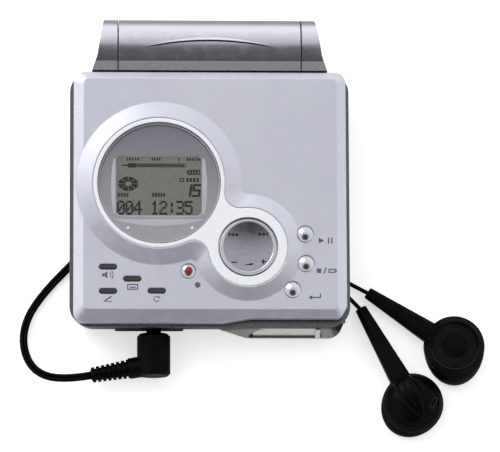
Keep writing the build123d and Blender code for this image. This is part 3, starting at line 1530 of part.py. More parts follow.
def bud_shell():
    """The rounded back of an earphone."""
    seam = bud_dome + bud_ring_height * 0.35
    dome = ThreePointArc((0, 0), (bud_radius * 0.66, bud_dome * 0.26), (bud_radius, bud_dome))
    side = Polyline((bud_radius, bud_dome), (bud_radius, seam), (0, seam), (0, 0))
    return revolve(Plane.XZ * make_face(Curve() + [dome, side]), Axis.Z)


def bud_face():
    """The ring and the grille that close an earphone, with two arcs of small holes."""
    seam = bud_dome + bud_ring_height * 0.35
    shoulder = bud_dome + bud_ring_height
    top = shoulder + bud_face_height
    edge = bud_radius - 0.05
    ring = Polyline(
        (0, seam), (edge, seam), (edge, shoulder - 0.5), (edge - 0.45, shoulder), (bud_face_radius + 0.3, top),
        (bud_face_radius, top), (bud_face_radius, top - 0.5), (0, top - 0.1), close=True,
    )
    face = revolve(Plane.XZ * make_face(ring), Axis.Z)
    holes = []
    for reach, count in bud_hole_rows:
        for i in range(count):
            turn = math.radians(20 + 140 * i / (count - 1))
            holes.append(post(reach * math.cos(turn), reach * math.sin(turn), top - 1.0, top + 1, bud_hole))
    return face - holes


def make_bud(tip, head, face_up):
    """One earphone: a domed shell with a tapering stem, and the face that closes it."""
    whole = bud_dome + bud_ring_height + bud_face_height
    hx, hy, hz = head
    if face_up:
        place = Pos(hx, hy, hz)
        joint_z = hz + bud_dome * 0.72
    else:
        place = Pos(hx, hy, hz + whole) * Rot(180, 0, 0)
        joint_z = hz + whole - bud_dome * 0.72
    face = place * bud_face()
    start = Vector(*tip)
    end = Vector(hx, hy, joint_z)
    along = (end - start).normalized()
    side_dir = along.cross(Vector(0, 0, 1)).normalized()
    near = Plane(origin=start, x_dir=side_dir, z_dir=along)
    inside = start + along * ((end - start).length - bud_radius * 0.55)
    far = Plane(origin=inside, x_dir=side_dir, z_dir=along)
    stem = loft([
        near * RectangleRounded(2 * stem_tip_radius, 2 * stem_tip_radius - 0.2, 1.0),
        far * RectangleRounded(2 * stem_radius + 0.9, 2 * stem_radius, 2.0),
    ])
    return place * bud_shell() + (stem - face), face


# ---------------------------------------------------------------- the whole recorder
def build():
    mask, window, panel = make_display()
    plug_housing, plug_pin, strain_relief = make_plug()
    lead_front, lead_rear, lead_coil = make_leads()
    right_shell, right_face = make_bud(right_tip, right_head, True)
    left_shell, left_face = make_bud(left_tip, left_head, False)
    keys = make_key_board()
    for p in make_gimbal_posts():
        keys = keys + p
    wire = Circle(wire_radius)
    area = math.pi * wire_radius ** 2
    chassis_top = chassis_z + chassis_thickness
    parts = {
        "lower_casing": make_lower_casing(),
        "rubber_feet": make_feet(),
        "case_screws": Compound(
            [pan_screw(x, y, foot_height + screw_head, case_screw_length, -1) for x, y in bottom_screw_places()]
        ),
        "battery_housing": make_battery_housing(),
        "battery_cover": make_battery_cover(),
        "battery_cell": make_battery_cell(),
        "battery_contacts": make_battery_contacts(),
        "main_board": make_main_board(),
        "board_parts": make_board_parts(),
        "mechanism_chassis": make_chassis(),
        "chassis_screws": Compound(
            [pan_screw(x, y, chassis_top, chassis_screw_length, 1) for x, y in screw_places()]
        ),
        "spindle_motor": make_spindle_motor(),
        "turntable": make_turntable(),
        "guide_shafts": make_guide_shafts(),
        "pickup": make_pickup(),
        "objective_lens": make_lens(),
        "lead_screw": make_lead_screw(),
        "sled_motor": make_sled_motor(),
        "motor_pinion": make_pinion(),
        "headphone_jack": make_headphone_jack(),
        "line_in_jack": make_side_jack(line_in_y, jack_bore, line_in_length, 0),
        "power_jack": make_side_jack(power_y, power_bore, power_length, power_pin),
        "hinge_pins": make_hinge_pins(),
        "open_slider": make_slider(),
        "hold_switch": make_hold_switch(),
        "lid_shell": make_lid_shell(),
        "inner_plate": make_inner_plate(),
        "key_board": keys,
        "trim_frame": make_trim_frame(),
        "display_mask": mask,
        "display_window": window,
        "lcd_panel": panel,
        "magnetic_head": make_head(),
        "key_gimbal": make_gimbal(),
        "navigation_key": make_key(),
        "disc_holder": make_holder(),
        "cartridge_case": make_cartridge(),
        "cartridge_shutter": make_shutter(),
        "recording_disc": make_disc(),
        "plug_housing": plug_housing,
        "plug_pin": plug_pin,
        "strain_relief": strain_relief,
        "lead_front": lead_front,
        "lead_coil": lead_coil,
        "lead_rear": lead_rear,
        "lead_yoke": make_yoke(),
        "right_wire": cord("right_wire", right_wire_route, wire, area) - make_yoke() - right_shell,
        "left_wire": cord("left_wire", left_wire_route, wire, area) - make_yoke() - left_shell,
        "right_bud_shell": right_shell,
        "right_bud_face": right_face,
        "left_bud_shell": left_shell,
        "left_bud_face": left_face,
    }
    for name in round_buttons:
        parts[name] = make_round_button(name)
    for name in bar_buttons:
        parts[name] = make_bar_button(name)
    return parts


for part_name, shape in build().items():
    solids = shape.solids()
    print(part_name, "solids", len(solids), "volume", round(sum(s.volume for s in solids), 2))
    whole = shape if len(solids) == 1 and not isinstance(shape, Compound) else Compound(solids)
    export_step(whole, "parts/" + part_name + ".step")
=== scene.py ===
import bpy
import math
import numpy as np
from mathutils import Matrix, Vector


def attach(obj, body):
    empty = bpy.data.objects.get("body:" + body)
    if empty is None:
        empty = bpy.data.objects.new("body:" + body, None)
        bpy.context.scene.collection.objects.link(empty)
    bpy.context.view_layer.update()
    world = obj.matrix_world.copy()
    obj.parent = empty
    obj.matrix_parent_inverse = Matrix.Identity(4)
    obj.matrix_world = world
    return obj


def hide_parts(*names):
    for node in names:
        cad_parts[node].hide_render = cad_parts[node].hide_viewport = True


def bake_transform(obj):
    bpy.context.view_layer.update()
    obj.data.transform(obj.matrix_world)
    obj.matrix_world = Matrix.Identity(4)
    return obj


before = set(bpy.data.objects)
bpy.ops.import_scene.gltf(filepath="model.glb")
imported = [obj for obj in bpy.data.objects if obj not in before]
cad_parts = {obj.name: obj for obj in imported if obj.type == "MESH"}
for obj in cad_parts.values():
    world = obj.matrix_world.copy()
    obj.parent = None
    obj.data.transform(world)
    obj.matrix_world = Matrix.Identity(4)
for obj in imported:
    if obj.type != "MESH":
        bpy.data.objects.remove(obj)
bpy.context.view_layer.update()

MM = 0.001
tau = 2 * math.pi

# sizes of the solids that the dressing follows, in millimetres
middle_y = -6.625          # the middle of the case
case_half_width = 39.5
case_front = -43.275
case_rim = 12.4            # height of the case's upper edge
case_corner = 6.0
wall_lean = math.radians(5)
hump_front = 29.8          # where the battery hump meets the case
lip_start = -43.4          # where the finger lip leaves the case
cell_y, cell_z = 37.575, 9.3  # axis of the battery cell
hump_radius = 7.95
ridge_radius = 8.4
cover_seam = 25.95         # the cover's seams lie this far to each side
display = np.array([-14.4, middle_y + 3.56])  # middle of the display
panel_top = 17.5           # the liquid-crystal panel
mask_top = 17.9            # the mask round the display
lid_top = 17.6
key_middle = np.array([10.56, middle_y - 14.7])
dish_reach = 7.05          # radius of the key's dish
disc_y = -6.3
record_place = (-6.15, middle_y - 21.5)
right_head = np.array([69.2, middle_y - 41.15])  # axes of the two earphones
left_head = np.array([57.6, middle_y - 57.05])
bud_top = 9.5              # height of an earphone above the floor
bud_reach = 8.6            # radius of an earphone


def beside(*points):
    """Points measured in Y from the middle of the case."""
    return [(p[0], p[1] + middle_y) + tuple(p[2:]) for p in points]


# -------------------- colours and finishes
white = (1.0, 1.0, 1.0, 1.0)


def paint(r, g, b):
    """Linear colour of a colour on the usual 0 to 255 scale."""
    c = np.array([r, g, b]) / 255.0
    c = np.where(c <= 0.04045, c / 12.92, ((c + 0.055) / 1.055) ** 2.4)
    return (float(c[0]), float(c[1]), float(c[2]), 1.0)


def toned(colour, share, lift=0.0):
    """A linear colour times share, plus lift, held at white."""
    return tuple(min(1.0, c * share + lift) for c in colour[:3]) + (1.0,)


class Graph:
    """A node tree, and short ways to add to it."""

    def __init__(self, tree):
        self.tree = tree

    def node(self, kind, **settings):
        """A new node of a kind, with its settings."""
        made = self.tree.nodes.new(kind)
        for key, value in settings.items():
            setattr(made, key, value)
        return made

    def link(self, a, b):
        """Joins output a to input b."""
        self.tree.links.new(a, b)

    def put(self, value, socket):
        """Links value to a socket if it is one itself, and otherwise sets the socket to it."""
        if hasattr(value, "node"):
            self.link(value, socket)
        else:
            socket.default_value = value

    def maths(self, operation, a, b=0.0):
        """An operation on two values, or on the first where it takes only one."""
        made = self.node("ShaderNodeMath", operation=operation)
        self.put(a, made.inputs[0])
        self.put(b, made.inputs[1])
        return made.outputs[0]

    def vector(self, operation, a, b=(0, 0, 0)):
        """An operation on two vectors; the result's sockets are Vector and Value."""
        made = self.node("ShaderNodeVectorMath", operation=operation)
        self.put(a, made.inputs[0])
        self.put(b, made.inputs[1])
        return made.outputs

    def spread(self, value, low, high, start=0.3, stop=0.7):
        """value, taken from start..stop to low..high."""
        ramp = self.node("ShaderNodeMapRange")
        for key, number in (("From Min", start), ("From Max", stop), ("To Min", low), ("To Max", high)):
            ramp.inputs[key].default_value = number
        self.link(value, ramp.inputs["Value"])
        return ramp.outputs[0]

    def tones(self, value, stops):
        """A colour that runs through stops, each a place from 0 to 1 and the colour there."""
        ramp = self.node("ShaderNodeValToRGB")
        elements = ramp.color_ramp.elements
        for element, (place, colour) in zip(elements, (stops[0], stops[-1])):
            element.position, element.color = place, colour
        for place, colour in stops[1:-1]:
            elements.new(place).color = colour
        self.link(value, ramp.inputs["Fac"])
        return ramp.outputs[0]

    def glow(self, kind, colour, strength):
        """A shader that gives off light: an emission, or the world's background."""
        made = self.node(kind)
        self.put(colour, made.inputs["Color"])
        made.inputs["Strength"].default_value = strength
        return made.outputs[0]

    def seen_or_lit(self, lit, seen):
        """The shader lit for light that falls on other things, and seen for what is looked at directly."""
        pick = self.node("ShaderNodeMixShader")
        self.link(self.node("ShaderNodeLightPath").outputs["Is Camera Ray"], pick.inputs["Fac"])
        self.link(lit, pick.inputs[1])
        self.link(seen, pick.inputs[2])
        return pick.outputs[0]


class Finish(Graph):
    """A material of the object: one shader, and textures read from Object coordinates."""

    def __init__(self, name, metallic=0.0, rough=0.5, specular=0.5):
        self.material = bpy.data.materials.new(name)
        self.material.use_nodes = True
        super().__init__(self.material.node_tree)
        self.shader = self.tree.nodes["Principled BSDF"]
        self.shader.inputs["Metallic"].default_value = metallic
        self.shader.inputs["Roughness"].default_value = rough
        self.shader.inputs["Specular IOR Level"].default_value = specular
        self.place = self.node("ShaderNodeTexCoord").outputs["Object"]

    def axis(self, number):
        """The place along X, Y or Z, in metres."""
        split = self.node("ShaderNodeSeparateXYZ")
        self.link(self.place, split.inputs[0])
        return split.outputs[number]

    def from_axis(self, x, y):
        """Distance in metres from an upright axis at x, y in millimetres."""
        centred = self.vector("SUBTRACT", self.place, (x * MM, y * MM, 0))[0]
        return self.vector("LENGTH", self.vector("MULTIPLY", centred, (1, 1, 0))[0])["Value"]

    def noise(self, size_mm, detail, stretch=(1, 1, 1)):
        """Cloudy noise with blotches about size_mm across, longer along an axis with a stretch under 1."""
        mapping = self.node("ShaderNodeMapping")
        mapping.inputs["Scale"].default_value = stretch
        self.link(self.place, mapping.inputs["Vector"])
        tex = self.node("ShaderNodeTexNoise")
        tex.inputs["Scale"].default_value = 1.0 / (size_mm * MM)
        tex.inputs["Detail"].default_value = detail
        self.link(mapping.outputs[0], tex.inputs["Vector"])
        return tex.outputs["Fac"]

    def flakes(self, size_mm):
        """Random value for each grain of a metallic paint."""
        tex = self.node("ShaderNodeTexVoronoi")
        tex.inputs["Scale"].default_value = 1.0 / (size_mm * MM)
        self.link(self.place, tex.inputs["Vector"])
        split = self.node("ShaderNodeSeparateColor")
        self.link(tex.outputs["Color"], split.inputs[0])
        return split.outputs[0]

    def blend(self, value, a, b):
        """Colour a where value is 0 and b where it is 1; a and b are colours or sockets."""
        mix = self.node("ShaderNodeMix", data_type="RGBA")
        self.link(value, mix.inputs["Factor"])
        self.put(a, mix.inputs["A"])
        self.put(b, mix.inputs["B"])
        return mix.outputs["Result"]

    def drift(self, size_mm, detail, a, b):
        """Colour a, turning to b in blotches about size_mm across."""
        return self.blend(self.spread(self.noise(size_mm, detail), 0.0, 1.0), a, b)

    def colour(self, socket):
        """Makes a socket the shader's colour."""
        self.link(socket, self.shader.inputs["Base Color"])

    def gloss(self, size_mm, detail, low, high):
        """Roughness that wanders from low to high in blotches."""
        self.link(self.spread(self.noise(size_mm, detail), low, high), self.shader.inputs["Roughness"])

    def bump(self, height, depth_mm, strength):
        """Raises the look of the surface where height is high."""
        made = self.node("ShaderNodeBump")
        made.inputs["Distance"].default_value = depth_mm * MM
        made.inputs["Strength"].default_value = strength
        self.link(height, made.inputs["Height"])
        self.link(made.outputs[0], self.shader.inputs["Normal"])
        return made

    def soft_edges(self, radius_mm, made):
        """Rounds the look of sharp edges; made is the bump node that lies on top."""
        bevel = self.node("ShaderNodeBevel", samples=4)
        bevel.inputs["Radius"].default_value = radius_mm * MM
        self.link(bevel.outputs[0], made.inputs["Normal"])
        return bevel

    def worn(self, bevel, base, bare, amount=0.6):
        """base, turning to bare where the rounded normal leaves the face's own, in patches."""
        own = self.node("ShaderNodeNewGeometry").outputs["Normal"]
        dot = self.vector("DOT_PRODUCT", bevel.outputs[0], own)["Value"]
        edge = self.spread(dot, amount, 0.0, 0.90, 0.995)
        patch = self.spread(self.noise(1.1, 4.0), 0.0, 1.0, 0.42, 0.66)
        return self.blend(self.maths("MULTIPLY", edge, patch), base, bare)

    def sprayed(self, base, rough, flake_mm, bright, dim, peel_mm, peel, edge_mm, bare, wear):
        """Metallic paint on a base colour: bright and dim flecks, a fine peel, and edges rubbed bare."""
        fleck = self.spread(self.flakes(flake_mm), 0.0, 1.0, 0.0, 1.0)
        spot = self.blend(self.spread(fleck, 0.0, bright, 0.55, 1.0), base, white)
        shade = self.blend(self.spread(fleck, dim, 0.0, 0.0, 0.45), spot, paint(40, 40, 44))
        made = self.bump(self.noise(0.35, 4.0), peel_mm, peel)
        self.colour(self.worn(self.soft_edges(edge_mm, made), shade, bare, wear))
        self.gloss(3.0, 5.0, rough - 0.05, rough + 0.07)


def metallic_paint(name, dark, light, flake_mm, metallic, rough, edge_mm, wear):
    """Sprayed metallic paint: a fine fleck over a slow drift of tone, edges rubbed a little paler."""
    f = Finish(name, metallic, rough)
    f.sprayed(f.drift(26, 2.0, dark, light), rough, flake_mm, bright=0.16, dim=0.10, peel_mm=0.012, peel=0.35,
              edge_mm=edge_mm, bare=paint(226, 228, 234), wear=wear)
    return f.material


def casing_paint(name, wall, hump, lip, rough):
    """The casing's sprayed metallic paint, painted paler on the hump behind the case and on the lip before it
    as painted light, with painted highlight and shade over the hump and painted shade beside the cover's
    seams.
    """
    f = Finish(name, 0.85, rough)
    y = f.axis(1)
    edge = 0.1 * MM
    behind = f.spread(y, 0.0, 1.0, hump_front * MM - edge, hump_front * MM + edge)
    before = f.spread(y, 1.0, 0.0, lip_start * MM - edge, lip_start * MM + edge)
    # painted highlight and shade over the round hump, from its foot at the case to its rear, as shares of the
    # hump's colour
    hump_light_shares = ((0.0, 0.42), (0.135, 0.42), (0.16, 0.62), (0.30, 0.80), (0.52, 0.90), (0.62, 1.0), (0.70, 1.15),
              (0.79, 1.15), (0.87, 0.45), (1.0, 0.25))
    over_hump = f.spread(y, 0.0, 1.0, 0.030, 0.046)
    tone = f.tones(over_hump, [(place, toned(hump, share)) for place, share in hump_light_shares])
    # painted shade on both sides of the cover's seams
    from_seam = f.maths("SUBTRACT", f.maths("ABSOLUTE", f.axis(0)), cover_seam * MM)
    seam_shade = f.spread(f.maths("ABSOLUTE", from_seam), 1.0, 0.0, 0.00012, 0.00028)
    rear_part = f.blend(seam_shade, tone, paint(46, 45, 46))
    base = f.blend(before, f.blend(behind, wall, rear_part), lip)
    f.sprayed(base, rough, flake_mm=0.10, bright=0.14, dim=0.12, peel_mm=0.010, peel=0.3, edge_mm=0.16,
              bare=paint(190, 190, 192), wear=0.4)
    return f.material


def display_grey(name):
    """The mask round the display: satin grey paint, with painted shade that darkens it towards the rear."""
    f = Finish(name, 0.3, 0.42)
    rear_shade = f.spread(f.axis(1), 0.0, 1.0, -0.016, 0.014)
    near = f.drift(2.0, 4.0, paint(160, 162, 168), paint(168, 170, 176))
    f.colour(f.blend(rear_shade, near, paint(112, 114, 124)))
    f.bump(f.noise(0.3, 3.0), 0.004, 0.3)
    f.gloss(1.4, 4.0, 0.38, 0.5)
    return f.material


def key_plate(name):
    """Brushed metal dish with a polished rim."""
    f = Finish(name, 1.0, 0.2)
    rim = f.spread(f.from_axis(*key_middle), 0.0, 1.0, dish_reach * MM, (dish_reach + 0.08) * MM)
    scratch = f.noise(0.16, 4.0, (0.06, 1, 1))
    brushed = f.blend(f.spread(scratch, 0.0, 1.0), paint(150, 151, 160), paint(170, 171, 180))
    f.colour(f.blend(rim, brushed, paint(204, 204, 210)))
    f.soft_edges(0.12, f.bump(scratch, 0.004, 0.4))
    f.gloss(2.2, 5.0, 0.14, 0.26)
    return f.material


def moulded(name, colour, rough=0.45, grain_mm=0.22, depth=0.02, tone=0.25, specular=0.5, edge_mm=0.12):
    """Moulded plastic or rubber: a fine grain, a little unevenness of tone and of gloss."""
    f = Finish(name, 0.0, rough, specular)
    f.colour(f.drift(4.0, 4.0, colour, toned(colour, 1 + tone, 0.002)))
    made = f.bump(f.noise(grain_mm, 3.0), depth, 0.45)
    if edge_mm:
        f.soft_edges(edge_mm, made)
    f.gloss(1.7, 5.0, rough - 0.07, rough + 0.09)
    return f.material


def metal(name, colour, rough, brush_mm, brush=(1, 1, 1)):
    """Bare metal: fine scratches, longer along an axis with a brush under 1, and smears in its gloss."""
    f = Finish(name, 1.0, rough)
    scratch = f.noise(brush_mm, 4.0, brush)
    f.colour(f.blend(f.spread(scratch, 0.0, 1.0), toned(colour, 0.82), colour))
    f.soft_edges(0.08, f.bump(scratch, 0.006, 0.4))
    f.gloss(2.2, 5.0, max(0.03, rough - 0.08), rough + 0.10)
    return f.material


def chrome(name, colour, rough=0.06):
    """Bright plating with faint smears."""
    f = Finish(name, 1.0, rough)
    f.colour(f.drift(0.9, 4.0, toned(colour, 0.9), colour))
    f.gloss(0.6, 5.0, rough - 0.03, rough + 0.07)
    f.bump(f.noise(0.5, 3.0), 0.002, 0.3)
    return f.material


def circuit_laminate(name):
    """Green solder mask over copper traces that run in steps, with small bright pads."""
    f = Finish(name, 0.0, 0.35)
    brick = f.node("ShaderNodeTexBrick", offset=0.5, squash=1.0)
    for key, value in (("Scale", 420.0), ("Mortar Size", 0.035), ("Brick Width", 1.3), ("Row Height", 0.35)):
        brick.inputs[key].default_value = value
    f.link(f.place, brick.inputs["Vector"])
    mask = f.drift(5.0, 4.0, paint(12, 66, 42), paint(18, 84, 52))
    traces = f.blend(brick.outputs["Fac"], mask, paint(42, 122, 74))
    pads = f.node("ShaderNodeTexVoronoi", distance="CHEBYCHEV")
    pads.inputs["Scale"].default_value = 520.0
    f.link(f.place, pads.inputs["Vector"])
    on_pad = f.spread(pads.outputs["Distance"], 1.0, 0.0, 0.10, 0.16)
    f.colour(f.blend(on_pad, traces, paint(206, 190, 132)))
    f.bump(brick.outputs["Fac"], 0.03, 0.4)
    f.gloss(2.0, 4.0, 0.28, 0.45)
    return f.material


def disc_mirror(name):
    """Recorded metal film under clear plastic: rings of slightly different tone round the hub."""
    f = Finish(name, 1.0, 0.14)
    rings = f.node("ShaderNodeTexNoise", noise_dimensions="1D")
    rings.inputs["Scale"].default_value = 900.0
    rings.inputs["Detail"].default_value = 5.0
    f.link(f.from_axis(0, disc_y), rings.inputs["W"])
    ring = rings.outputs["Fac"]
    f.colour(f.blend(f.spread(ring, 0.0, 1.0), paint(132, 120, 148), paint(196, 188, 178)))
    f.link(f.spread(ring, 0.10, 0.22), f.shader.inputs["Roughness"])
    f.shader.inputs["Coat Weight"].default_value = 0.7
    f.shader.inputs["Coat Roughness"].default_value = 0.05
    return f.material


def printed(name, colour, rough=0.5, tone=0.12, specular=0.25):
    """Thin printed ink, a little uneven."""
    f = Finish(name, 0.0, rough, specular)
    f.colour(f.drift(0.5, 4.0, colour, toned(colour, 1 + tone, 0.004)))
    f.gloss(0.4, 3.0, rough - 0.08, rough + 0.08)
    return f.material


def clear_window(name):
    """Clear acrylic over the display: nearly see-through, glossy, with faint dust in its gloss."""
    f = Finish(name, 0.0, 0.05, 0.6)
    f.colour(f.drift(6.0, 3.0, paint(150, 152, 160), paint(160, 162, 168)))
    f.shader.inputs["Alpha"].default_value = 0.05
    f.gloss(1.2, 5.0, 0.03, 0.10)
    return f.material


def lens_coating(name):
    """The pickup's lens: dark glass with a violet coating."""
    f = Finish(name, 0.0, 0.04, 0.9)
    f.colour(f.drift(1.2, 2.0, paint(40, 32, 92), paint(72, 48, 120)))
    f.shader.inputs["Coat Weight"].default_value = 1.0
    f.gloss(0.3, 3.0, 0.03, 0.08)
    return f.material


def cell_jacket(name):
    """Printed film round the cell: dark with one pale band, and shrink lines along it."""
    f = Finish(name, 0.3, 0.3)
    band_here = f.spread(f.axis(0), 0.0, 1.0, 0.0120, 0.0124)
    body = f.drift(3.0, 4.0, paint(34, 52, 96), paint(44, 64, 112))
    f.colour(f.blend(band_here, body, paint(196, 186, 150)))
    f.bump(f.noise(0.6, 3.0, (0.1, 1, 1)), 0.02, 0.3)
    f.gloss(1.5, 4.0, 0.24, 0.4)
    return f.material


made_finishes = (
    # the hump's and the lip's paler colours are painted light
    casing_paint("casing_grey", wall=paint(98, 97, 97), hump=paint(206, 205, 216), lip=paint(146, 142, 140),
                 rough=0.24),
    metallic_paint("lid_silver", paint(204, 206, 219), paint(212, 214, 226), flake_mm=0.10, metallic=0.6,
                   rough=0.33, edge_mm=0.45, wear=0.4),
    moulded("ring_silver", paint(240, 241, 246), 0.28, grain_mm=0.3, depth=0.004, tone=0.03, edge_mm=0.2),
    metallic_paint("slider_silver", paint(216, 212, 207), paint(226, 222, 217), flake_mm=0.12, metallic=0.8,
                   rough=0.30, edge_mm=0.14, wear=0.6),
    moulded("switch_grey", paint(60, 60, 62), 0.42),
    moulded("foot_rubber", paint(28, 28, 29), 0.72, grain_mm=0.3, depth=0.03),
    metal("screw_steel", paint(176, 176, 180), 0.28, brush_mm=0.2),
    cell_jacket("cell_jacket"),
    metal("contact_metal", paint(206, 196, 170), 0.22, brush_mm=0.2, brush=(0.2, 1, 1)),
    circuit_laminate("circuit_board"),
    moulded("chip_black", paint(26, 26, 28), 0.5, grain_mm=0.12, depth=0.01),
    metal("chassis_steel", paint(172, 174, 178), 0.34, brush_mm=0.3, brush=(0.08, 1, 1)),
    metal("motor_steel", paint(158, 159, 163), 0.26, brush_mm=0.2, brush=(1, 1, 0.1)),
    metal("shaft_steel", paint(206, 208, 212), 0.16, brush_mm=0.15, brush=(1, 0.1, 1)),
    metal("pickup_body", paint(118, 119, 124), 0.42, brush_mm=0.5),
    lens_coating("lens_glass"),
    metal("turntable_metal", paint(188, 188, 190), 0.22, brush_mm=0.2, brush=(1, 1, 0.1)),
    metal("gear_brass", paint(196, 164, 96), 0.28, brush_mm=0.2, brush=(1, 1, 0.2)),
    moulded("socket_black", paint(10, 9, 10), 0.38, grain_mm=0.2, depth=0.012, specular=0.06),
    display_grey("display_mask"),
    clear_window("display_window"),
    moulded("lcd_panel", paint(112, 113, 103), 0.30, grain_mm=0.5, depth=0.003, tone=0.08, specular=0.3,
            edge_mm=0),
    key_plate("key_metal"),
    chrome("button_chrome", paint(206, 208, 214)),
    chrome("record_chrome", paint(206, 204, 208), 0.08),
    moulded("bar_dark", paint(44, 45, 44), 0.35, grain_mm=0.15, depth=0.008),
    metal("holder_steel", paint(150, 152, 157), 0.32, brush_mm=0.25, brush=(0.1, 1, 1)),
    moulded("cartridge_blue", paint(52, 72, 128), 0.32, grain_mm=0.3, depth=0.008, tone=0.15),
    metal("shutter_steel", paint(196, 198, 202), 0.22, brush_mm=0.2, brush=(1, 0.06, 1)),
    disc_mirror("disc_mirror"),
    moulded("plug_black", paint(8, 5, 8), 0.34, grain_mm=0.3, specular=0.04),
    chrome("plug_metal", paint(224, 200, 140), 0.12),
    moulded("cord_black", paint(5, 4, 5), 0.36, grain_mm=0.4, depth=0.015, tone=0.2, specular=0.05,
            edge_mm=0),
    moulded("yoke_black", paint(6, 5, 6), 0.36, grain_mm=0.3, specular=0.05),
    moulded("bud_black", paint(4, 3, 5), 0.22, grain_mm=0.25, depth=0.010, specular=0.045),
    moulded("bud_face", paint(5, 4, 6), 0.24, grain_mm=0.2, depth=0.008, specular=0.05),
)
finishes = {made.name.split(".")[0]: made for made in made_finishes}
ink_grey = printed("ink_grey", paint(92, 93, 98))
ink_dark = printed("ink_dark", paint(16, 16, 18))
white_dot_paint = printed("white_dot_paint", paint(232, 234, 240))
segment_ink = printed("segment_ink", paint(10, 10, 8), specular=0.05)
record_red = printed("record_red", paint(128, 46, 54), rough=0.22)
# pale ink for painted highlights along edges round the display
frame_line = printed("frame_line", paint(190, 193, 192), rough=0.4)

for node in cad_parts.values():
    for holder in node.material_slots:
        holder.material = finishes[holder.material.name.split(".")[0]]


# -------------------- mesh helpers
def new_object(name, data):
    """An object of the scene that shows data."""
    made = bpy.data.objects.new(name, data)
    bpy.context.scene.collection.objects.link(made)
    return made


def add_piece(name, points, faces, material, body, smooth=False):
    """A mesh object from an array of points in millimetres and a list of faces, riding on a body."""
    mesh = bpy.data.meshes.new(name)
    mesh.from_pydata((np.asarray(points, float) * MM).tolist(), [], faces)
    mesh.polygons.foreach_set("use_smooth", np.full(len(mesh.polygons), smooth))
    mesh.update()
    made = new_object(name, mesh)
    mesh.materials.append(material)
    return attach(made, body) if body else made


def grid_faces(rows, across, closed=True):
    """Quads between neighbouring rows of a grid of rows x across points; closed joins each row's ends."""
    i = np.arange(rows - 1)[:, None]
    j = np.arange(across if closed else across - 1)[None, :]
    k = (j + 1) % across
    quads = np.stack([i * across + j, i * across + k, (i + 1) * across + k, (i + 1) * across + j], -1)
    return quads.reshape(-1, 4)


def closed_stack(rings, upward=False):
    """A stack of rings, rows x across points, closed by flat ends. The rings turn counter-clockwise seen
    against the way the stack runs, or along it if it runs upward."""
    rows, across = rings.shape[:2]
    faces = grid_faces(rows, across)[:, ::-1].tolist()
    faces.append(list(range(across)))
    faces.append([rows * across - 1 - i for i in range(across)])
    if upward:
        faces = [face[::-1] for face in faces]
    return rings.reshape(-1, 3), faces


def cushion(upper, lower):
    """A solid between two grids of rows x columns points, joined round their edges."""
    rows, columns = upper.shape[:2]
    top = grid_faces(rows, columns, closed=False)
    n = rows * columns
    index = np.arange(n).reshape(rows, columns)
    loop = np.concatenate([index[0, :-1], index[:-1, -1], index[-1, :0:-1], index[:0:-1, 0]])
    after = np.roll(loop, -1)
    rim = np.stack([loop, loop + n, after + n, after], -1)
    faces = np.concatenate([top, top[:, ::-1] + n, rim]).tolist()
    return np.concatenate([upper.reshape(-1, 3), lower.reshape(-1, 3)]), faces


def plates(outlines, height, thickness, sunk=0.01):
    """Thin plates on a surface: each outline, counter-clockwise, gives a top, a bottom and a rim of quads.
    height(x, y) is the surface's height. The bottom lies sunk below it and the top thickness above it."""
    points, faces, base = [], [], 0
    for outline in outlines:
        o = np.asarray(outline, float)
        n = len(o)
        z = height(o[:, 0], o[:, 1])
        points.append(np.column_stack([o, z - sunk]))
        points.append(np.column_stack([o, z + thickness]))
        faces.append([base + n - 1 - i for i in range(n)])
        faces.append([base + n + i for i in range(n)])
        i = np.arange(n)
        k = (i + 1) % n
        faces += np.stack([base + i, base + k, base + n + k, base + n + i], -1).tolist()
        base += 2 * n
    return np.concatenate(points), faces


def level(z):
    """A flat surface at height z."""
    return lambda x, y: np.full(np.shape(x), z)


def sign(name, outlines, z, material, body, thickness=0.02, height=None):
    """Plates on the level z, or on the surface height(x, y)."""
    return add_piece(name, *plates(outlines, height or level(z), thickness), material, body)


# outlines, in millimetres
def box_at(x, y, w, h, lean=0.0):
    """A rectangle, leaning to the right by lean for each unit of height."""
    return [(x - w / 2 - lean * h / 2, y - h / 2), (x + w / 2 - lean * h / 2, y - h / 2),
            (x + w / 2 + lean * h / 2, y + h / 2), (x - w / 2 + lean * h / 2, y + h / 2)]


def arrow_at(x, y, w, h):
    """A triangle that points along w's sign."""
    a, b, c = (x - w / 2, y - h / 2), (x + w / 2, y), (x - w / 2, y + h / 2)
    return [a, b, c] if w > 0 else [a, c, b]


def polar(radius, angle, squash=1.0):
    """Points at a radius and angles; squash flattens them in Y."""
    return np.column_stack([radius * np.cos(angle), radius * squash * np.sin(angle)])


def circle(radius, n, closed=False):
    """n points round a circle, and the first one again at the end if it is closed."""
    return polar(radius, np.arange(n + closed) * tau / n)


def round_at(x, y, radius, n=28):
    """The outline of a disc."""
    return circle(radius, n) + (x, y)


def arc_at(x, y, r0, r1, a0, a1, n=16, squash=1.0):
    """Part of a ring from radius r0 to r1 and from angle a0 to a1, in degrees."""
    t = np.radians(np.linspace(a0, a1, n))
    return np.concatenate([polar(r1, t, squash), polar(r0, t, squash)[::-1]]) + (x, y)


def band(outer, inner):
    """Quads between two lines with the same number of points; the outer one lies to the right of the way."""
    return [[inner[i], outer[i], outer[i + 1], inner[i + 1]] for i in range(len(outer) - 1)]


def ring_at(x, y, r0, r1, n=48, shift=0.0):
    """Quads of a whole ring from radius r0 to r1. The inner circle's middle lies shift nearer the front."""
    return band(circle(r1, n, True) + (x, y), circle(r0, n, True) + (x, y - shift))


def line_at(x0, y0, x1, y1, w):
    """A straight stroke of width w."""
    a, b = np.array([x0, y0]), np.array([x1, y1])
    n = np.array([y0 - y1, x1 - x0]) / np.hypot(x1 - x0, y1 - y0) * w / 2
    return [a - n, b - n, b + n, a + n]


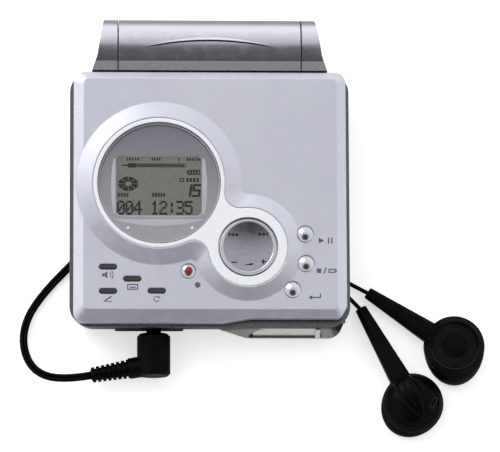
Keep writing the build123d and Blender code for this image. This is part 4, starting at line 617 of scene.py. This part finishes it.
def frame_at(x, y, w, h, t):
    """The four strokes of an upright rectangle."""
    return [box_at(x, y + h / 2 - t / 2, w, t), box_at(x, y - h / 2 + t / 2, w, t),
            box_at(x - w / 2 + t / 2, y, t, h - 2 * t), box_at(x + w / 2 - t / 2, y, t, h - 2 * t)]


# -------------------- earphone lead and wires
def smooth_line(name, route, fine=6):
    """Points along the smooth line that the route's points steer, in millimetres."""
    curve = bpy.data.curves.new(name, "CURVE")
    curve.dimensions = "3D"
    curve.resolution_u = fine
    spline = curve.splines.new("NURBS")
    spline.points.add(len(route) - 1)
    flat = np.column_stack([np.asarray(route, float) * MM, np.ones(len(route))])
    spline.points.foreach_set("co", flat.ravel())
    spline.order_u = 3
    spline.use_endpoint_u = True
    holder = new_object(name, curve)
    line = bpy.data.meshes.new_from_object(holder)
    co = np.empty(len(line.vertices) * 3)
    line.vertices.foreach_get("co", co)
    bpy.data.objects.remove(holder)
    return co.reshape(-1, 3) / MM


def along(line, section):
    """A closed tube: the section's points, across and up, at each point of the line, kept level."""
    step = np.gradient(line, axis=0)
    step /= np.linalg.norm(step, axis=1)[:, None]
    across = np.cross(step, (0, 0, 1))
    across /= np.linalg.norm(across, axis=1)[:, None]
    up = np.cross(across, step)
    sideways, upright = section[None, :, :1], section[None, :, 1:]
    return closed_stack(line[:, None] + sideways * across[:, None] + upright * up[:, None])


def twin_section(apart=0.52, radius=0.61, n=9):
    """Outline of two round wires side by side. Each is drawn to just short of where they meet, at the angle
    whose cosine is apart / radius, which leaves a shallow groove."""
    short_of_meeting = 0.92
    reach = math.pi - math.acos(apart / radius) * short_of_meeting
    t = np.linspace(-reach, reach, n)
    right = polar(radius, t) + (apart, 0)
    return np.concatenate([right, -right])


coil_z = 0.745             # height of the wound part's middle
wire_radius = 0.6
lead_front = beside((-32.44, -49.1, 5.0), (-42, -50.85, 4.7), (-50.6, -47.35, 3.2), (-53.3, -37.35, 1.6),
                    (-48.8, -26.85, 0.85), (-33.2, -11.25, coil_z))
lead_rear = beside((14.4, -24.15, coil_z), (21.4, -22.05, 0.8))


def winding(centre, outer, inner, strand, z, leave_at=291.7, steps=14):
    """Two spiral arms that lie between each other. One turns inward from the left. At the middle an S joins
    it to the other, which turns outward and leaves at the front, at the angle leave_at in degrees. The radius
    changes by two strands in each turn, and a turn has so many steps."""
    turns = (outer - inner) / (2 * strand)
    s = np.linspace(0, turns, int(turns * steps))
    a = math.pi - tau * s
    r = outer - 2 * strand * s
    inward = polar(r, a)
    end = a[-1]
    half = np.linspace(0, math.pi, 6)[1:-1]
    mid = polar(inner / 2, end)
    first = mid + polar(inner / 2, end - half)
    second = polar(inner / 2, end + half) - mid
    start = end + math.pi
    part_turn = (math.radians(leave_at) - start) % tau
    sweep = part_turn + tau * round((outer - strand - inner) / (2 * strand) - part_turn / tau)
    u = np.linspace(0, sweep, int(sweep / tau * steps))
    b = start + u
    q = inner + strand * u / math.pi
    path = np.concatenate([inward, first, second, polar(q, b)]) + centre
    return np.column_stack([path, np.full(len(path), z)])


wound = winding(centre=(-2, middle_y + 0.15), outer=28.4, inner=9.6, strand=2.6, z=coil_z)
lead_route = lead_front + wound.tolist() + lead_rear
lead_line = smooth_line("lead_line", lead_route)
lead = add_piece("earphone_lead", *along(lead_line, twin_section()), finishes["cord_black"], None, True)
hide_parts("lead_front", "lead_coil", "lead_rear")

wire_routes = {
    "right_wire": beside((26.2, -19.95, 0.75), (32.0, -17.75, 0.75), (38.5, -21.45, 0.85),
                         (45.9, -25.5, 1.85)),
    "left_wire": beside((26.4, -21.15, 0.75), (32.0, -19.75, 0.75), (37.2, -23.35, 0.85),
                        (43.7, -30.45, 1.85)),
}
for wire_name, route in wire_routes.items():
    line = smooth_line(wire_name + "_line", route, 10)
    tube = along(line, circle(wire_radius, 14))
    wire = add_piece("earphone_" + wire_name, *tube, finishes["cord_black"], "base", True)
    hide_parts(wire_name)


# -------------------- display contents
def on_display(outlines):
    """Outlines measured from the display's middle."""
    return [np.asarray(o) + display for o in outlines]


DOTS = {
    "0": "01110 10001 10011 10101 11001 10001 01110",
    "1": "00100 01100 00100 00100 00100 00100 01110",
    "2": "01110 10001 00001 00110 01000 10000 11111",
    "3": "11110 00001 00001 01110 00001 00001 11110",
    "4": "00010 00110 01010 10010 11111 00010 00010",
    "5": "11111 10000 11110 00001 00001 10001 01110",
    ":": "00000 00100 00100 00000 00100 00100 00000",
}


def dot_line(text, x, y, dx, dy, cell):
    """Characters of 5 x 7 dots; x and y are the lower left corner, dx and dy the pitch of the dots, which run
    into each other."""
    dot = (dx * 1.35, dy * 1.12)
    made = []
    for i, letter in enumerate(text):
        for r, row in enumerate(DOTS.get(letter, "").split()):
            made += [box_at(x + i * cell + (c + 0.5) * dx, y + (6.5 - r) * dy, *dot)
                     for c in range(5) if row[c] == "1"]
    return made


def seven_segments(which, x, y, w, h, t, lean):
    """A digit of up to seven bars, a to g, leaning to the right."""
    gap = t * 0.3
    half = h / 2
    ends = {
        "a": ((-1, 1), (1, 1)), "b": ((1, 1), (1, 0)), "c": ((1, 0), (1, -1)), "d": ((-1, -1), (1, -1)),
        "e": ((-1, 0), (-1, -1)), "f": ((-1, 1), (-1, 0)), "g": ((-1, 0), (1, 0)),
    }
    made = []
    for bar in which:
        p, q = (np.array([e[0] * w / 2, e[1] * half]) for e in ends[bar])
        d = (q - p) / np.linalg.norm(q - p)
        n = np.array([-d[1], d[0]]) * t / 2
        p, q = p - d * gap, q + d * gap
        stroke = np.array([p - n, q - n, q + n, p + n])
        stroke[:, 0] += stroke[:, 1] * lean
        made.append(stroke + (x, y))
    return made


def rounded_frame(w, h, cut, corner, t, n=7):
    """Quads of a frame round w x h, t wide. Its top corners are cut off and its lower ones are round."""
    inner, outer = [], []
    for grow, loop in ((0.0, inner), (t, outer)):
        a, b, k = w / 2 + grow, h / 2 + grow, corner + grow
        c = cut + grow * 0.6
        turn = np.radians(np.linspace(0, 90, n))
        loop += [(-a + k - k * math.sin(v), -b + k - k * math.cos(v)) for v in turn[::-1]]
        loop += [(a - k + k * math.sin(v), -b + k - k * math.cos(v)) for v in turn]
        loop += [(a, b - c), (a - c, b), (-a + c, b), (-a, b - c)]
    return band(outer + outer[:1], inner + inner[:1])


def display_contents():
    """The dark segments: dot characters, a number, a level meter, small groups of bars and a disc."""
    dark = dot_line("004 12:35", -11.75, -9.0, 0.42, 0.565, 2.38)
    dark += seven_segments("bc", 7.95, -2.05, 1.9, 3.1, 0.72, 0.16)
    dark += seven_segments("acdfg", 10.55, -2.05, 1.75, 3.1, 0.62, 0.16)
    # level meter with a bright block and its scale marks
    dark += [box_at(0.6, 5.5, 13.8, 0.22), box_at(0.6, 4.7, 13.8, 0.22), box_at(7.45, 5.1, 0.22, 0.7)]
    dark += [box_at(-7.6, 5.1, 2.3, 1.25), box_at(-9.6, 5.1, 1.9, 0.42)]
    dark += [box_at(-6.1 + 0.75 * i, 5.1, 0.56, 0.5) for i in range(18)]
    dark += [box_at(x, 6.85, 0.42, 0.8) for x in (-8.9, -8.2, -7.5, -6.6, -5.9, -1.9, -1.2, -0.5, 0.2)]
    dark += [box_at(x, 6.85, 0.42, 0.85) for x in (5.6, 8.1, 8.8, 9.5, 10.2, 10.9, 11.5)]
    # battery with three bars
    dark += frame_at(9.85, 3.15, 3.4, 1.45, 0.26) + [box_at(7.95, 3.15, 0.4, 0.7)]
    dark += [box_at(8.95 + 0.85 * i, 3.15, 0.56, 0.85, 0.1) for i in range(3)]
    # a row of marks over the digits, and two groups beneath the disc and in the middle
    dark += frame_at(6.35, 0.95, 1.3, 1.15, 0.3)
    dark += [box_at(8.0 + 0.95 * i, 0.95, 0.66, 1.15) for i in range(4)]
    dark += [box_at(-11.3 + 0.8 * i, -3.35, 0.56, 1.15) for i in range(4)]
    dark += [box_at(-1.7 + 0.78 * i, -3.3, 0.56, 1.15) for i in range(5)]
    # the turning disc: a ring of eight sectors
    for i in range(8):
        dark.append(arc_at(-8.65, -0.2, 0.9, 2.85, 45 * i + 3, 45 * i + 42, 8, 0.72))
    return on_display(dark)


sign("display_segments", display_contents(), panel_top, segment_ink, "lid")
# painted highlight: a pale line round the panel, where the mask's bevel edge catches light
panel_edge_highlight = [np.asarray(o) + (0.0, -0.75) for o in rounded_frame(24.0, 17.0, cut=0.95, corner=1.5, t=0.42)]
sign("display_edge_highlight", on_display(panel_edge_highlight), panel_top, frame_line, "lid", 0.06)


def light_surround():
    """The pale moulding round the display glass: a crescent at the front and thin bowed sides. Each bows out
    from the glass by its depth times 1 - t squared, t running from -1 to 1 along it."""
    side = 12.3
    x = np.linspace(-side, side, 25)
    low = np.column_stack([x, -10.5 - 1.75 * (1 - (x / 12.5) ** 2)])
    crescent = np.concatenate([low, np.column_stack([x[::-1], np.full(len(x), -10.35)])])
    y = np.linspace(-8.8, 7.0, 17)
    bow = 12.75 + 0.75 * (1 - ((y + 0.9) / 8.2) ** 2)
    right = np.concatenate([np.column_stack([bow, y]), np.column_stack([np.full(len(y), side), y[::-1]])])
    left = right[::-1] * (-1, 1)
    return on_display([crescent, right, left])


shade_ink = printed("shade_ink", paint(84, 86, 94))
surround_ink = printed("surround_ink", paint(182, 184, 192))
# painted highlight along the window's edge
sign("display_line", ring_at(*display, 16.82, 17.02, 96), mask_top, frame_line, "lid", 0.02)
sign("display_shade", ring_at(*display, 16.72, 16.8, 96, 0.5), mask_top, shade_ink, "lid", 0.01)
sign("display_surround", light_surround(), mask_top, surround_ink, "lid", 0.015)
# two small white dots below the display
white_dots = [round_at(x, -12.75, 0.42) for x in (-8.75, 9.25)]
sign("display_dots", on_display(white_dots), mask_top, white_dot_paint, "lid", 0.03)


# -------------------- marks on the lid and the key
def lid_marks():
    """Plain symbols beside the buttons: each is drawn round its own middle, enlarged and put in its place."""
    w = 0.26
    play = [arrow_at(-1.3, 0, 1.2, 1.3), box_at(0.25, 0, 0.3, 1.3), box_at(0.95, 0, 0.3, 1.3)]
    stop = [box_at(-1.1, 0, 1.0, 1.0), line_at(-0.1, -0.7, 0.5, 0.7, w)]
    stop += frame_at(1.75, 0, 1.6, 0.9, w) + [box_at(2.7, 0, 0.25, 0.4)]
    enter = [line_at(-0.4, 0.0, 1.6, 0.0, w), line_at(1.5, 0.0, 1.5, 0.9, w), arrow_at(-0.7, 0, -0.8, 1.0)]
    record = [round_at(0, 0, 0.62)]
    sound = [box_at(-1.2, 0, 0.5, 0.7), [(-0.9, -0.35), (-0.3, -0.8), (-0.3, 0.8), (-0.9, 0.35)]]
    sound += [arc_at(-0.4, 0, 0.75, 0.92, -42, 42), arc_at(-0.4, 0, 1.25, 1.42, -42, 42)]
    screen = frame_at(0, 0, 2.4, 1.3, w) + [box_at(0, -0.1, 1.3, w)]
    edit = [line_at(-0.8, -0.55, 0.75, 0.55, 0.32), box_at(0.25, -0.62, 1.3, 0.16)]
    mode = [arc_at(0, 0, 0.5, 0.68, 30, 330), arrow_at(0.62, 0.32, 0.5, 0.55)]
    places = (
        (play, (32.9, -12.7)), (stop, (31.9, -21.3)), (enter, (28.9, -28.9)), (record, (-3.6, -25.4)),
        (sound, (-28.5, -22.6)), (screen, (-21.8, -26.0)), (edit, (-28.7, -29.4)), (mode, (-15.1, -29.4)))
    size = 1.3
    return [np.asarray(o, float) * size + at + (0, middle_y) for shape, at in places for o in shape]


sign("lid_marks", lid_marks(), lid_top, ink_grey, "lid", 0.012)


def key_height(x, y):
    """The dish: deepest in the middle, rising as the square of the distance from it."""
    bottom, rise = 18.20, 0.60
    r = np.hypot(x - key_middle[0], y - key_middle[1])
    return bottom + rise * (r / dish_reach) ** 2


def key_marks():
    """Signs on the key: skip back and ahead, less and more, and a rising wedge."""
    back = [box_at(-1.5, 0, 0.34, 1.05), arrow_at(-0.72, 0, -1.1, 1.1), arrow_at(0.42, 0, -1.1, 1.1)]
    ahead = [np.asarray(o)[::-1] * (-1, 1) for o in back]
    minus = [box_at(0, 0, 1.5, 0.36)]
    plus = [box_at(0, 0, 1.5, 0.36), box_at(0, 0.465, 0.36, 0.57), box_at(0, -0.465, 0.36, 0.57)]
    wedge = [[(-1.3, -0.3), (1.3, -0.3), (1.3, 0.35)]]
    places = (
        (back, (-3.75, 3.45)), (ahead, (3.9, 3.6)), (minus, (-3.9, -4.4)), (plus, (4.3, -4.2)),
        (wedge, (0.0, -4.9)))
    return [np.asarray(o, float) + key_middle + at for shape, at in places for o in shape]


def dome(x, y, z, reach, rise, rings=10, across=40):
    """A shallow cap: from the rim inward, the height grows from 0 to rise as the cosine of a quarter turn."""
    r = np.linspace(1, 1 / rings, rings)[:, None]
    t = (np.arange(across) * tau / across)[None, :]
    height = z + rise * np.cos(r * tau / 4) + 0 * t
    points = np.stack([x + reach * r * np.cos(t), y + reach * r * np.sin(t), height], -1)
    points = np.concatenate([points.reshape(-1, 3), [[x, y, z + rise]]])
    last = (rings - 1) * across
    faces = grid_faces(rings, across).tolist()
    faces += [[last + i, last + (i + 1) % across, rings * across] for i in range(across)]
    faces.append([across - 1 - i for i in range(across)])
    return points, faces


lamp_cap = dome(*record_place, z=18.42, reach=1.15, rise=0.30)
record_lamp = add_piece("record_lamp", *lamp_cap, record_red, "record_button", True)
sign("key_marks", key_marks(), 0, ink_dark, "navigation_key", 0.012, key_height)


# -------------------- earphones
def bud_drop(r):
    """How far the domed back falls at radius r. It is part of an arc whose middle lies off the axis, measured
    from the arc's height over the axis."""
    arc_radius, arc_height, off_axis = 7.922, 7.841, 1.131
    return arc_height - np.sqrt(arc_radius ** 2 - (r - off_axis) ** 2)


def leaning_back(head, heading, reach, top, bottom, rows=12, across=56):
    """The back of an earphone leans: going down, its circle moves off by reach times the depth's share s
    along the heading, and shrinks as the root of 1 - (0.76 s) squared. It is a hair proud of the solid."""
    proud = 0.02
    s = np.linspace(0, 1, rows)[:, None]
    t = (np.arange(across) * tau / across)[None, :]
    r = (bud_reach + proud) * np.sqrt(1 - (0.76 * s) ** 2)
    a = math.radians(heading)
    x = head[0] + reach * s * math.cos(a) + r * np.cos(t)
    y = head[1] + reach * s * math.sin(a) + r * np.sin(t)
    return closed_stack(np.stack([x, y, top + (bottom - top) * s + 0 * t], -1))


def stem_wedge():
    """The stem's root on the left earphone's back: it widens, then narrows to a point past the middle.
    Its height over the dome falls along it and, across it, as 1 - t to the fourth, with a fold down the
    middle: a bell curve that takes off a share of the height. Its edges sink into the dome."""
    fold_depth, fold_width = 0.22, 0.28
    edge_sunk, thickness = 0.3, 0.8
    stem_end = np.array([43.2, middle_y - 29.65])
    ahead = (left_head - stem_end) / np.linalg.norm(left_head - stem_end)
    sideways = np.array([-ahead[1], ahead[0]])
    stations = [-8.2, -6.0, -3.0, 0.0, 3.0, 6.0]
    a = np.linspace(stations[0], stations[-1], 30)
    width = np.interp(a, stations, [3.15, 3.3, 3.55, 2.9, 1.8, 0.35])
    rise = np.interp(a, stations, [1.9, 1.45, 1.15, 0.85, 0.5, 0.0])
    t = np.linspace(-1, 1, 17)
    flat = left_head + a[:, None, None] * ahead + (width[:, None] * t)[:, :, None] * sideways
    r = np.minimum(np.hypot(*(flat - left_head).transpose(2, 0, 1)), bud_reach)
    dome_z = bud_top - bud_drop(r)
    fold = 1 - fold_depth * np.exp(-(t / fold_width) ** 2)
    upper = dome_z + rise[:, None] * fold * (1 - t ** 4) - edge_sunk * t ** 4
    lower = dome_z - thickness
    return cushion(*(np.concatenate([flat, z[:, :, None]], -1) for z in (upper, lower)))


def rim_tube(head, reach, tube, z, start, stop, n=60, sides=10):
    """A round bead bent to part of a circle, its section a circle of radius tube."""
    a = np.radians(np.linspace(start, stop, n))[:, None]
    t = (np.arange(sides) * tau / sides)[None, :]
    r = reach + tube * np.cos(t)
    rings = np.stack([head[0] + r * np.cos(a), head[1] + r * np.sin(a), z + tube * np.sin(t) + 0 * a], -1)
    return closed_stack(rings, upward=True)


def capsule_at(x, y, length, width, heading, n=10):
    """An outline with two straight sides and round ends."""
    t = np.linspace(-math.pi / 2, math.pi / 2, n)
    straight = (length - width) / 2
    end = polar(width / 2, t) + (straight, 0)
    outline = np.concatenate([end, -end])
    a = math.radians(heading)
    turned = outline @ np.array([[math.cos(a), math.sin(a)], [-math.sin(a), math.cos(a)]])
    return turned + (x, y)


def on_left_back(x, y):
    """The domed back, where the bead and the vent stand a little over it."""
    proud = 0.12
    return bud_top - bud_drop(np.hypot(x - left_head[0], y - left_head[1])) + proud


def on_right_face(x, y):
    """The grille lies below the rim and falls evenly from its middle to its edge."""
    below_rim, fall, grille_reach = 0.1, 0.4, 6.6
    return bud_top - below_rim - fall * np.hypot(x - right_head[0], y - right_head[1]) / grille_reach


def grille_holes():
    """Three arcs of small holes round the smooth middle, drawn as dark discs of painted shade."""
    made = []
    for reach, count, start, stop in ((5.95, 21, -12, 192), (5.1, 19, -6, 186), (4.3, 15, 2, 178)):
        middles = right_head + polar(reach, np.radians(np.linspace(start, stop, count)))
        made += [round_at(x, y, 0.3, 8) for x, y in middles]
    return made


bud_sheen = moulded("bud_sheen", paint(17, 15, 19), 0.32, grain_mm=0.2, depth=0.008, tone=0.3, specular=0.06)
thin_mark = {"grain_mm": 0.2, "depth": 0.004, "tone": 0.2, "edge_mm": 0}
# painted highlight on lit rim edges of the earphones
bud_line = moulded("bud_line", paint(42, 38, 46), 0.3, specular=0.15, **thin_mark)
# painted shade that stands in for the depth of the grille's holes and the vent
hole_shade_paint = moulded("hole_shade_paint", paint(3, 3, 3), 0.7, specular=0.05, **thin_mark)
bud_black = finishes["bud_black"]
right_back = leaning_back(right_head, heading=-84, reach=4.5, top=6.4, bottom=0.3)
left_side = leaning_back(left_head, heading=-125, reach=3.4, top=4.3, bottom=0.3)
bead_reach = 7.1
left_bead = rim_tube(left_head, bead_reach, 0.26, bud_top - bud_drop(bead_reach), start=175, stop=395)
right_edge = [arc_at(*right_head, 6.62, 6.82, 190, 350, 40)]
vent_place = (left_head[0] + 5.5, left_head[1] - 0.3)
vent_rim = [capsule_at(*vent_place, 3.6, 1.3, heading=63)]
vent = [capsule_at(*vent_place, 3.1, 0.8, heading=63)]
for made in (
    add_piece("right_bud_back", *right_back, bud_black, "base", True),
    add_piece("left_bud_side", *left_side, bud_black, "base", True),
    add_piece("left_bud_wedge", *stem_wedge(), bud_black, "base", True),
    add_piece("left_bud_bead", *left_bead, bud_black, "base", True),
    sign("right_bud_grille", ring_at(*right_head, 3.7, 6.35), 0, bud_sheen, "base", 0.01, on_right_face),
    sign("right_bud_rim_highlight", right_edge, bud_top, bud_line, "base", 0.01),
    sign("right_bud_holes", grille_holes(), 0, hole_shade_paint, "base", 0.025, on_right_face),
    sign("left_bud_vent_highlight", vent_rim, 0, bud_line, "base", 0.01, on_left_back),
    sign("left_bud_vent", vent, 0, hole_shade_paint, "base", 0.025, on_left_back),
):
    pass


# -------------------- thumb ridge
def ridge_front(x, crown=38.295, radius=80.8):
    """The ridge's front edge: an arc of a circle, furthest back at the crown."""
    return crown - (radius - np.sqrt(radius ** 2 - x ** 2))


def cover_skin(radius):
    """Height of a round skin about the cell's axis, a hair over the solid."""
    proud = 0.012
    return lambda x, y: cell_z + np.sqrt(radius ** 2 - (y - cell_y) ** 2) + proud


def ridge_band(behind, width, half=17.6, count=48):
    """Quads along the ridge's front edge, tapering to both ends as the root of 1 - (x / half) squared."""
    clear = 0.02            # the least width, and the gap to the edge
    x = np.linspace(-half, half, count)
    taper = width * np.sqrt(np.maximum(1 - (x / half) ** 2, 0.0)) + clear
    low = np.column_stack([x, ridge_front(x) + (1.5 * clear if behind else -taper)])
    high = np.column_stack([x, ridge_front(x) + (taper if behind else -clear)])
    return [[low[i], low[i + 1], high[i + 1], high[i]] for i in range(count - 1)]


# painted highlight along the ridge's front edge
glint = chrome("ridge_edge", paint(240, 240, 248), 0.3)
# painted shadow: a dark line on the hump just before the ridge's step
groove = moulded("ridge_groove", paint(40, 39, 41), 0.5, specular=0.2, **thin_mark)
lit_edge, dark_line = ridge_band(True, 0.62), ridge_band(False, 0.42)
for made in (
    sign("thumb_ridge_highlight", lit_edge, 0, glint, "battery_cover", 0.01, cover_skin(ridge_radius)),
    sign("thumb_ridge_shadow", dark_line, 0, groove, "battery_cover", 0.01, cover_skin(hump_radius)),
):
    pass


# -------------------- casing corners
def corner_wall(side, z_low=2.1, z_high=7.8, rows=16, across=20):
    """Wall behind a front corner of the casing: quarter circles whose middle moves in with the casing's lean,
    by its tangent for each millimetre down, and whose radius shrinks over the rounded lower edge."""
    edge_radius, edge_top = 1.9, 3.35
    outside, inside = case_corner - 0.03, case_corner - 0.28
    z = np.linspace(z_low, z_high, rows)[:, None]
    lean_in = (case_rim - z) * math.tan(wall_lean)
    below = np.clip(edge_top - z, 0, edge_radius)
    edge = edge_radius - np.sqrt(edge_radius ** 2 - below ** 2)
    a = np.linspace(math.pi, 1.5 * math.pi, across)[None, :]
    x = -(case_half_width - lean_in - case_corner)
    y = case_front + lean_in + case_corner
    grids = []
    for radius in (outside, inside):
        r = radius - edge
        grids.append(np.stack([(x + r * np.cos(a)) * -side, y + r * np.sin(a), z + 0 * a], -1))
    return cushion(*(grids if side < 0 else grids[::-1]))


for side, label in ((-1, "left"), (1, "right")):
    corner = add_piece(label + "_corner_wall", *corner_wall(side), finishes["casing_grey"], "base", True)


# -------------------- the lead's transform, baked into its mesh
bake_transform(lead)


# -------------------- floor, light and camera
def floor_material():
    """A pale matt floor, which adds a plain glow where it is looked at directly."""
    f = Finish("studio_floor", 0.0, 0.9, 0.1)
    f.shader.inputs["Base Color"].default_value = (0.86, 0.86, 0.87, 1)
    glow = f.glow("ShaderNodeEmission", white, 0.57)
    total = f.node("ShaderNodeAddShader")
    f.link(f.shader.outputs[0], total.inputs[0])
    f.link(f.seen_or_lit(f.glow("ShaderNodeEmission", white, 0.0), glow), total.inputs[1])
    f.link(total.outputs[0], f.tree.nodes["Material Output"].inputs["Surface"])
    return f.material


floor = bpy.data.meshes.new("studio_floor")
floor_reach, floor_z = 3, -0.00002
floor_corners = [(x * floor_reach, y * floor_reach, floor_z) for x, y in ((-1, -1), (1, -1), (1, 1), (-1, 1))]
floor.from_pydata(floor_corners, [], [(0, 1, 2, 3)])
floor.materials.append(floor_material())
floor = new_object("studio_floor", floor)


def studio_world():
    """A pale room, white towards the horizon and dark above the front, where the camera's rig hangs."""
    world = bpy.data.worlds.new("studio")
    bpy.context.scene.world = world
    world.use_nodes = True
    world.node_tree.nodes.clear()
    g = Graph(world.node_tree)
    place = g.node("ShaderNodeTexCoord").outputs["Generated"]
    toward_rig = g.vector("DOT_PRODUCT", place, (0.0, -0.5, 0.866))["Value"]
    greys = ((0.15, 1.0), (0.65, 0.88), (0.865, 0.70), (0.905, 0.50), (0.94, 0.12), (1.0, 0.05))
    tone = g.tones(g.spread(toward_rig, 0.0, 1.0, -1.0, 1.0), [(at, (v, v, v, 1)) for at, v in greys])
    room = g.glow("ShaderNodeBackground", tone, 1.18)
    plain = g.glow("ShaderNodeBackground", white, 1.0)
    g.link(g.seen_or_lit(room, plain), g.node("ShaderNodeOutputWorld").inputs["Surface"])


studio_world()


def soft_box(name, place, aim, size, power):
    """A square area lamp that faces a point."""
    lamp = bpy.data.lights.new(name, "AREA")
    lamp.shape = "SQUARE"
    lamp.size = size
    lamp.energy = power
    made = new_object(name, lamp)
    made.location = place
    made.rotation_mode = "QUATERNION"
    made.rotation_quaternion = (Vector(aim) - Vector(place)).to_track_quat("-Z", "Y")


soft_box("key_light", (-0.62, 0.66, 0.64), (0, 0, 0), 0.8, 5.8)

bpy.context.scene.view_settings.view_transform = "Standard"
target = Vector((11.17, middle_y - 8.5, 17.0)) * MM
back = Vector((-0.041, -0.176, 1.0)).normalized()
distance = 1.2
pixels_across, pixels_per_mm = 500, 3.557
seen_width = pixels_across / pixels_per_mm * MM
right = Vector((0.0042, 1, 0)).cross(back).normalized()
top = back.cross(right)
camera = bpy.data.cameras.new("camera")
camera.sensor_width = 36.0
camera.lens = camera.sensor_width * distance / seen_width
camera.clip_start = 0.05
camera.clip_end = 20
viewer = new_object("camera", camera)
turned = Matrix((right, top, back)).transposed().to_4x4()
viewer.matrix_world = Matrix.Translation(target + back * distance) @ turned
bpy.context.scene.camera = viewer
